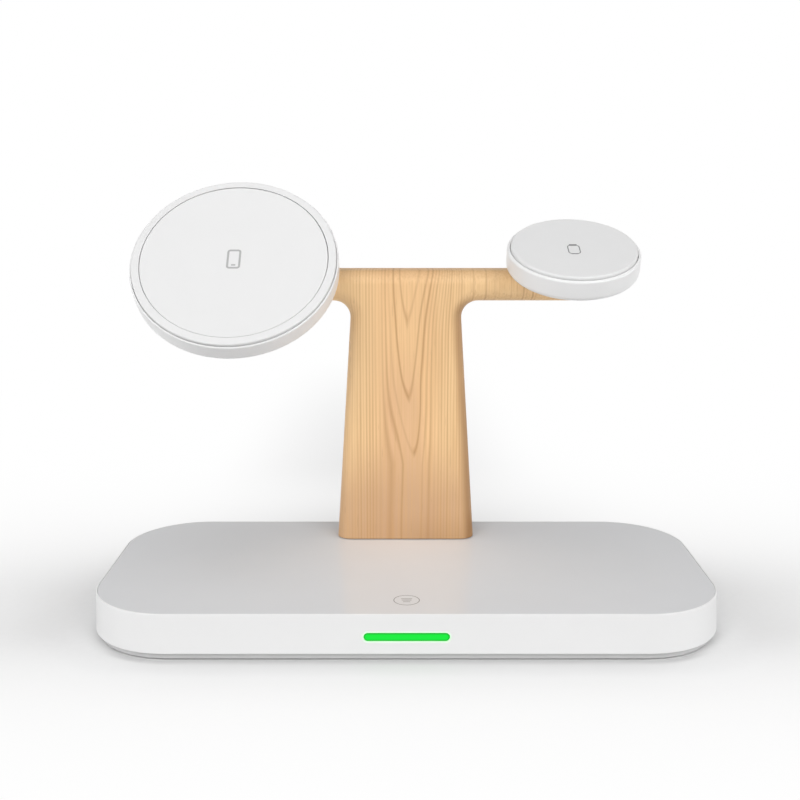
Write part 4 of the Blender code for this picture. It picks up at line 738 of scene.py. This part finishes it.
PHONE_SEAM, PHONE_RADIUS, PHONE_DEPTH = 29.2 * MM, 29.8 * MM, 6.5 * MM
PHONE_SHOULDER = -0.25 * MM
PHONE_FLOOR, PHONE_SHELF, PHONE_BORE = -PHONE_DEPTH + 1.8 * MM, -2.3 * MM, 27.7 * MM
PHONE_LIP = PHONE_SEAM + 0.15 * MM
phone_cup = [(PHONE_LIP, PHONE_SHOULDER), (PHONE_RADIUS, PHONE_SHOULDER), (PHONE_RADIUS, -PHONE_DEPTH),
             (0, -PHONE_DEPTH), (0, PHONE_FLOOR), (PHONE_BORE, PHONE_FLOOR), (PHONE_BORE, PHONE_SHELF),
             (PHONE_LIP, PHONE_SHELF)]
phone_housing = head_housing("phone_head_housing", phone_cup, {1: (0.44 * MM, 4), 2: (1.6 * MM, 7)},
                             PHONE_PLACE, PHONE_LIFT - PHONE_DEPTH, (PHONE_DROP, PHONE_LIFT))
set_in_place(phone_housing, abs_moulded_white, "phone_head", "white_abs", "phone_housing")

RING_INNER, RING_RISE, RING_DEPTH = 26.9 * MM, 0.8 * MM, 2.0 * MM
LEDGE_INNER, LEDGE_TOP = RING_INNER - 1.1 * MM, -RING_DEPTH + 0.8 * MM
trim = turned([(RING_INNER, RING_RISE), (PHONE_SEAM, 0.6 * MM), (PHONE_SEAM, -RING_DEPTH),
               (LEDGE_INNER, -RING_DEPTH), (LEDGE_INNER, LEDGE_TOP), (RING_INNER, LEDGE_TOP)],
              {1: (0.35 * MM, 4), 0: (0.15 * MM, 2)}, 120)
bmesh.ops.transform(trim, matrix=PHONE_PLACE, verts=trim.verts)
trim_ring = make_object("phone_head_ring", trim)

# White ABS, moulded in a blasted tool: a soft satin that shows no clear reflection.
abs_moulded_satin, shader = new_finish("abs_moulded_satin", IOR=1.53)
speckle(abs_moulded_satin, shader, 0.25 * MM, 0.004 * MM, linear("#E7E7E7"), linear("#E5E5E5"), 0.42, 0.52)
set_in_place(trim_ring, abs_moulded_satin, "phone_head", "satin_white", "phone_trim_ring")

# The pad has settled a tenth of a millimetre in its ring, so its seam is finest at the bottom.
pad_radius, pad_low = RING_INNER - 0.16 * MM, -RING_DEPTH + 1.1 * MM
pad = turned([(0, RING_RISE), (pad_radius, RING_RISE), (pad_radius, pad_low), (0, pad_low)],
             {1: (0.2 * MM, 3)}, 120)
bmesh.ops.transform(pad, matrix=PHONE_PLACE @ Matrix.Translation((0, -0.1 * MM, 0)), verts=pad.verts)
set_in_place(make_object("phone_head_pad", pad), abs_moulded_satin, "phone_head", "satin_white", "phone_pad")

phone_mark = ring_outline(4.0 * MM, 6.8 * MM, 0.9 * MM, 0.6 * MM, 5)
printed_bar(phone_mark, 1.2 * MM, 0.5 * MM, 0, -2.1 * MM)
bmesh.ops.transform(phone_mark, matrix=PHONE_PLACE @ Matrix.Translation((0, 0, RING_RISE)),
                    verts=phone_mark.verts)
set_in_place(make_object("phone_place_mark", phone_mark), ink_printed_pale, "phone_head", "grey_abs")


# Watch head: the same housing, smaller, with a raised round face that stands in the back of a
# watch. The face is one satin white cap with a soft edge.
WATCH_DROP, WATCH_LIFT = 5.0 * MM, 13.5 * MM
WATCH_PLACE = head_place(WATCH_X, 23.6, WATCH_DROP, WATCH_LIFT)
WATCH_SEAM, WATCH_RADIUS, WATCH_DEPTH = 18.4 * MM, 19.2 * MM, 6.5 * MM
FACE_RISE, FACE_SINK = 1.0 * MM, 1.3 * MM

WATCH_FLOOR, WATCH_SHELF, WATCH_BORE = -WATCH_DEPTH + 1.8 * MM, -1.6 * MM, 16.4 * MM
watch_cup = [(WATCH_SEAM, 0), (WATCH_RADIUS, 0), (WATCH_RADIUS, -WATCH_DEPTH), (0, -WATCH_DEPTH),
             (0, WATCH_FLOOR), (WATCH_BORE, WATCH_FLOOR), (WATCH_BORE, WATCH_SHELF),
             (WATCH_SEAM, WATCH_SHELF)]
watch_housing = head_housing("watch_head_housing", watch_cup, {1: (0.7 * MM, 5), 2: (1.8 * MM, 7)},
                             WATCH_PLACE, WATCH_LIFT - WATCH_DEPTH, (WATCH_DROP, WATCH_LIFT))
set_in_place(watch_housing, abs_moulded_white, "watch_head", "white_abs", "watch_housing")

face_radius = WATCH_SEAM - 0.2 * MM
cap = turned([(0, FACE_RISE), (face_radius, FACE_RISE), (face_radius, -FACE_SINK), (0, -FACE_SINK)],
             {1: (0.7 * MM, 5)}, 120)
bmesh.ops.transform(cap, matrix=WATCH_PLACE, verts=cap.verts)
set_in_place(make_object("watch_head_face", cap), abs_moulded_satin, "watch_head", "satin_white",
             "watch_face")

watch_mark = ring_outline(3.6 * MM, 5.4 * MM, 1.2 * MM, 0.3 * MM, 5)
printed_bar(watch_mark, 2.2 * MM, 0.9 * MM, 0, 2.7 * MM)
printed_bar(watch_mark, 1.9 * MM, 0.5 * MM, 0, -2.6 * MM)
bmesh.ops.transform(watch_mark, matrix=WATCH_PLACE @ Matrix.Translation((-0.3 * MM, -1.7 * MM, FACE_RISE)),
                    verts=watch_mark.verts)
set_in_place(make_object("watch_place_mark", watch_mark), ink_printed_grey, "watch_head", "grey_abs")


# Floor: a seamless sheet of pale studio paper. Close to the stand it takes the lamps' light and shadow, with
# painted shadow in front of the base, darkest where the base meets it, and behind the stem. Further out a
# painted white glow takes it over into the white background, soonest in front, which leaves a painted pool of
# shade round the stand. It throws back a little less light than it shows, as a dim room's floor does.
paper = bmesh.new()
bmesh.ops.create_grid(paper, x_segments=1, y_segments=1, size=4.0)
floor = make_object("studio_floor", paper)
# Paper, uncoated: quite matt, with the faint cloudiness of its pulp.
paper_white, shader = new_finish("paper_white", Roughness=0.9, Specular_IOR_Level=0.0)
on_paper = partial(add_node, paper_white)
place = on_paper("TexCoord", {}, {}).outputs["Object"]
axes = on_paper("SeparateXYZ", {}, [place]).outputs
pulp = on_paper("TexNoise", {}, {"Vector": place, "Scale": 1 / (2 * MM)})
shade = on_paper("Mix", BLEND, [pulp, linear("#F1F1F1"), linear("#F5F5F5")])

# How far a point is from the middle, for the painted white glow: the way sideways and to the rear counts for
# less, which leaves a painted pool of shade round the stand.
width = on_paper("Math", "ABSOLUTE", [axes["X"]])
side = on_paper("Math", "MAXIMUM", [on_paper("Math", "SUBTRACT", [width, 62 * MM]), 0.0])
side = on_paper("Math", "MULTIPLY", [side, 0.35])
ahead = on_paper("Math", "MAXIMUM", [on_paper("Math", "SUBTRACT", [-16 * MM, axes["Y"]]), 0.0])
ahead = on_paper("Math", "MULTIPLY", [ahead, 0.85])
behind = on_paper("Math", "MAXIMUM", [on_paper("Math", "SUBTRACT", [axes["Y"], 5 * MM]), 0.0])
slow = on_paper("MapRange", {}, [width, 15 * MM, 100 * MM, 0.33, 0.68])
behind = on_paper("Math", "MULTIPLY", [behind, slow])
away = on_paper("CombineXYZ", {}, [side, on_paper("Math", "ADD", [ahead, behind])])
reach = on_paper("VectorMath", "LENGTH", [away])
fall = on_paper("Math", "DIVIDE", [on_paper("Math", "SUBTRACT", [12 * MM, reach]), 18 * MM])
fade = on_paper("Math", "SUBTRACT", [1.0, on_paper("Math", "EXPONENT", [fall])])
fade = on_paper("Math", "MINIMUM", [on_paper("Math", "MAXIMUM", [fade, 0.0]), 1.0])

# How far it is from the middle of the base's corner, which is the base's outline at BASE_CORNER.
length = on_paper("Math", "ABSOLUTE", [axes["Y"]])
past = [on_paper("Math", "SUBTRACT", [value, size / 2 - BASE_CORNER])
        for value, size in ((width, BASE_WIDTH), (length, BASE_DEPTH))]
beyond = on_paper("CombineXYZ", {}, [on_paper("Math", "MAXIMUM", [value, 0.0]) for value in past])
beyond = on_paper("VectorMath", "LENGTH", [beyond])

# Soft zones along one axis, each from where it begins to where it is full, in millimetres.
off_centre = on_paper("Math", "ABSOLUTE", [on_paper("Math", "ADD", [axes["X"], 12 * MM])])
in_front, broad, front_edge, at_front, at_end, rear_far, rear_near, central = [
    on_paper("MapRange", SMOOTH, [value, begins * MM, full * MM])
    for value, begins, full in ((axes["Y"], -70, -43), (width, 90, 50), (axes["Y"], -31, -38),
                                (axes["Y"], -10, -26), (width, 66, 86),
                                (axes["Y"], 460, 180), (axes["Y"], 95, 165), (off_centre, 75, 5))]
corners = on_paper("Math", "MULTIPLY", [on_paper("Math", "MULTIPLY", [at_front, at_end]), 5 * MM])
corners = on_paper("Math", "ADD", [corners, BASE_CORNER + 10 * MM])
fade = on_paper("Math", "MULTIPLY", [fade, on_paper("MapRange", SMOOTH, [beyond, BASE_CORNER, corners])])
# Painted shadow behind the stem: the white glow is held back in a band there.
painted_stem_shadow = on_paper("Math", "MULTIPLY", [central, 0.32])
painted_stem_shadow = on_paper("Math", "MULTIPLY", [on_paper("Math", "MULTIPLY", [rear_far, rear_near]), painted_stem_shadow])
fade = on_paper("Math", "MULTIPLY", [fade, on_paper("Math", "SUBTRACT", [1.0, painted_stem_shadow])])
# Painted shadow in front of the base, and a darker painted contact shadow along its front edge and corners.
under, close = [on_paper("MapRange", SMOOTH, [beyond, BASE_CORNER + begins * MM, BASE_CORNER + full * MM])
                for begins, full in ((-1.3, -0.9), (1.9, -0.2))]
painted_front_shadow = on_paper("Math", "MULTIPLY", [on_paper("Math", "MULTIPLY", [in_front, broad]), under])
painted_contact_shadow = on_paper("Math", "MULTIPLY", [on_paper("Math", "MULTIPLY", [under, close]), front_edge])
shade = on_paper("Mix", BLEND, [painted_front_shadow, shade, linear("#E1E1E1")])
shade = on_paper("Mix", BLEND, [painted_contact_shadow, shade, linear("#D8D8D8")])
rays = on_paper("LightPath", {}, {}).outputs
seen = on_paper("Math", "MAXIMUM", [rays["Is Glossy Ray"], rays["Is Transmission Ray"]])
seen = on_paper("Math", "MAXIMUM", [rays["Is Camera Ray"], seen])
connect(paper_white, shader, {"Base Color": on_paper("Mix", BLEND, [seen, linear("#E4E4E4"), shade])})
white = on_paper("Emission", {}, {"Strength": 1.0})
both = on_paper("MixShader", {}, [on_paper("Math", "MULTIPLY", [fade, seen]), shader, white])
connect(paper_white, paper_white.node_tree.nodes["Material Output"], {"Surface": both})
floor.data.materials.append(paper_white)


# Studio light: two large soft lamps in front, one on each side, and one above, in a white room
# whose ceiling is dim. The room fills every shadow a little, and its walls are the background.
room = bpy.data.worlds.new("white_studio")
bpy.context.scene.world = room
room.use_nodes = True
in_room = partial(add_node, room)
rays = in_room("LightPath", {}, {}).outputs
seen = in_room("Math", "MAXIMUM", [rays["Is Camera Ray"], rays["Is Glossy Ray"]])
seen = in_room("Math", "MAXIMUM", [seen, rays["Is Transmission Ray"]])
axes = in_room("SeparateXYZ", {}, [in_room("TexCoord", {}, {}).outputs["Generated"]]).outputs
walls = in_room("MapRange", SMOOTH, [axes["Z"], 0.16, 0.36, 1.0, 0.30])
level = in_room("MapRange", {}, [seen, 0.0, 1.0, 0.15, walls])
connect(room, room.node_tree.nodes["Background"], {"Strength": level, "Color": (1, 1, 1, 1)})


def soft_lamp(name, place, power):
    """A square soft lamp, a metre wide, that faces the middle of the stand."""
    lamp = bpy.data.lights.new(name, "AREA")
    lamp.shape = "SQUARE"
    lamp.size = 1.0
    lamp.energy = power
    piece = bpy.data.objects.new(name, lamp)
    piece.location = place
    piece.rotation_euler = (Vector((0, 0, 0.06)) - Vector(place)).to_track_quat("-Z", "Y").to_euler()
    bpy.context.scene.collection.objects.link(piece)


soft_lamp("front_left_lamp", (-0.65, -1.25, 1.15), 11.0)
soft_lamp("front_right_lamp", (0.8, -1.2, 1.15), 9.75)
soft_lamp("left_lamp", (-1.5, -0.35, 0.5), 6.4)
soft_lamp("right_lamp", (1.5, -0.35, 0.5), 6.7)
soft_lamp("top_lamp", (0, -0.1, 1.5), 4.2)

bpy.context.scene.view_settings.view_transform = "Standard"
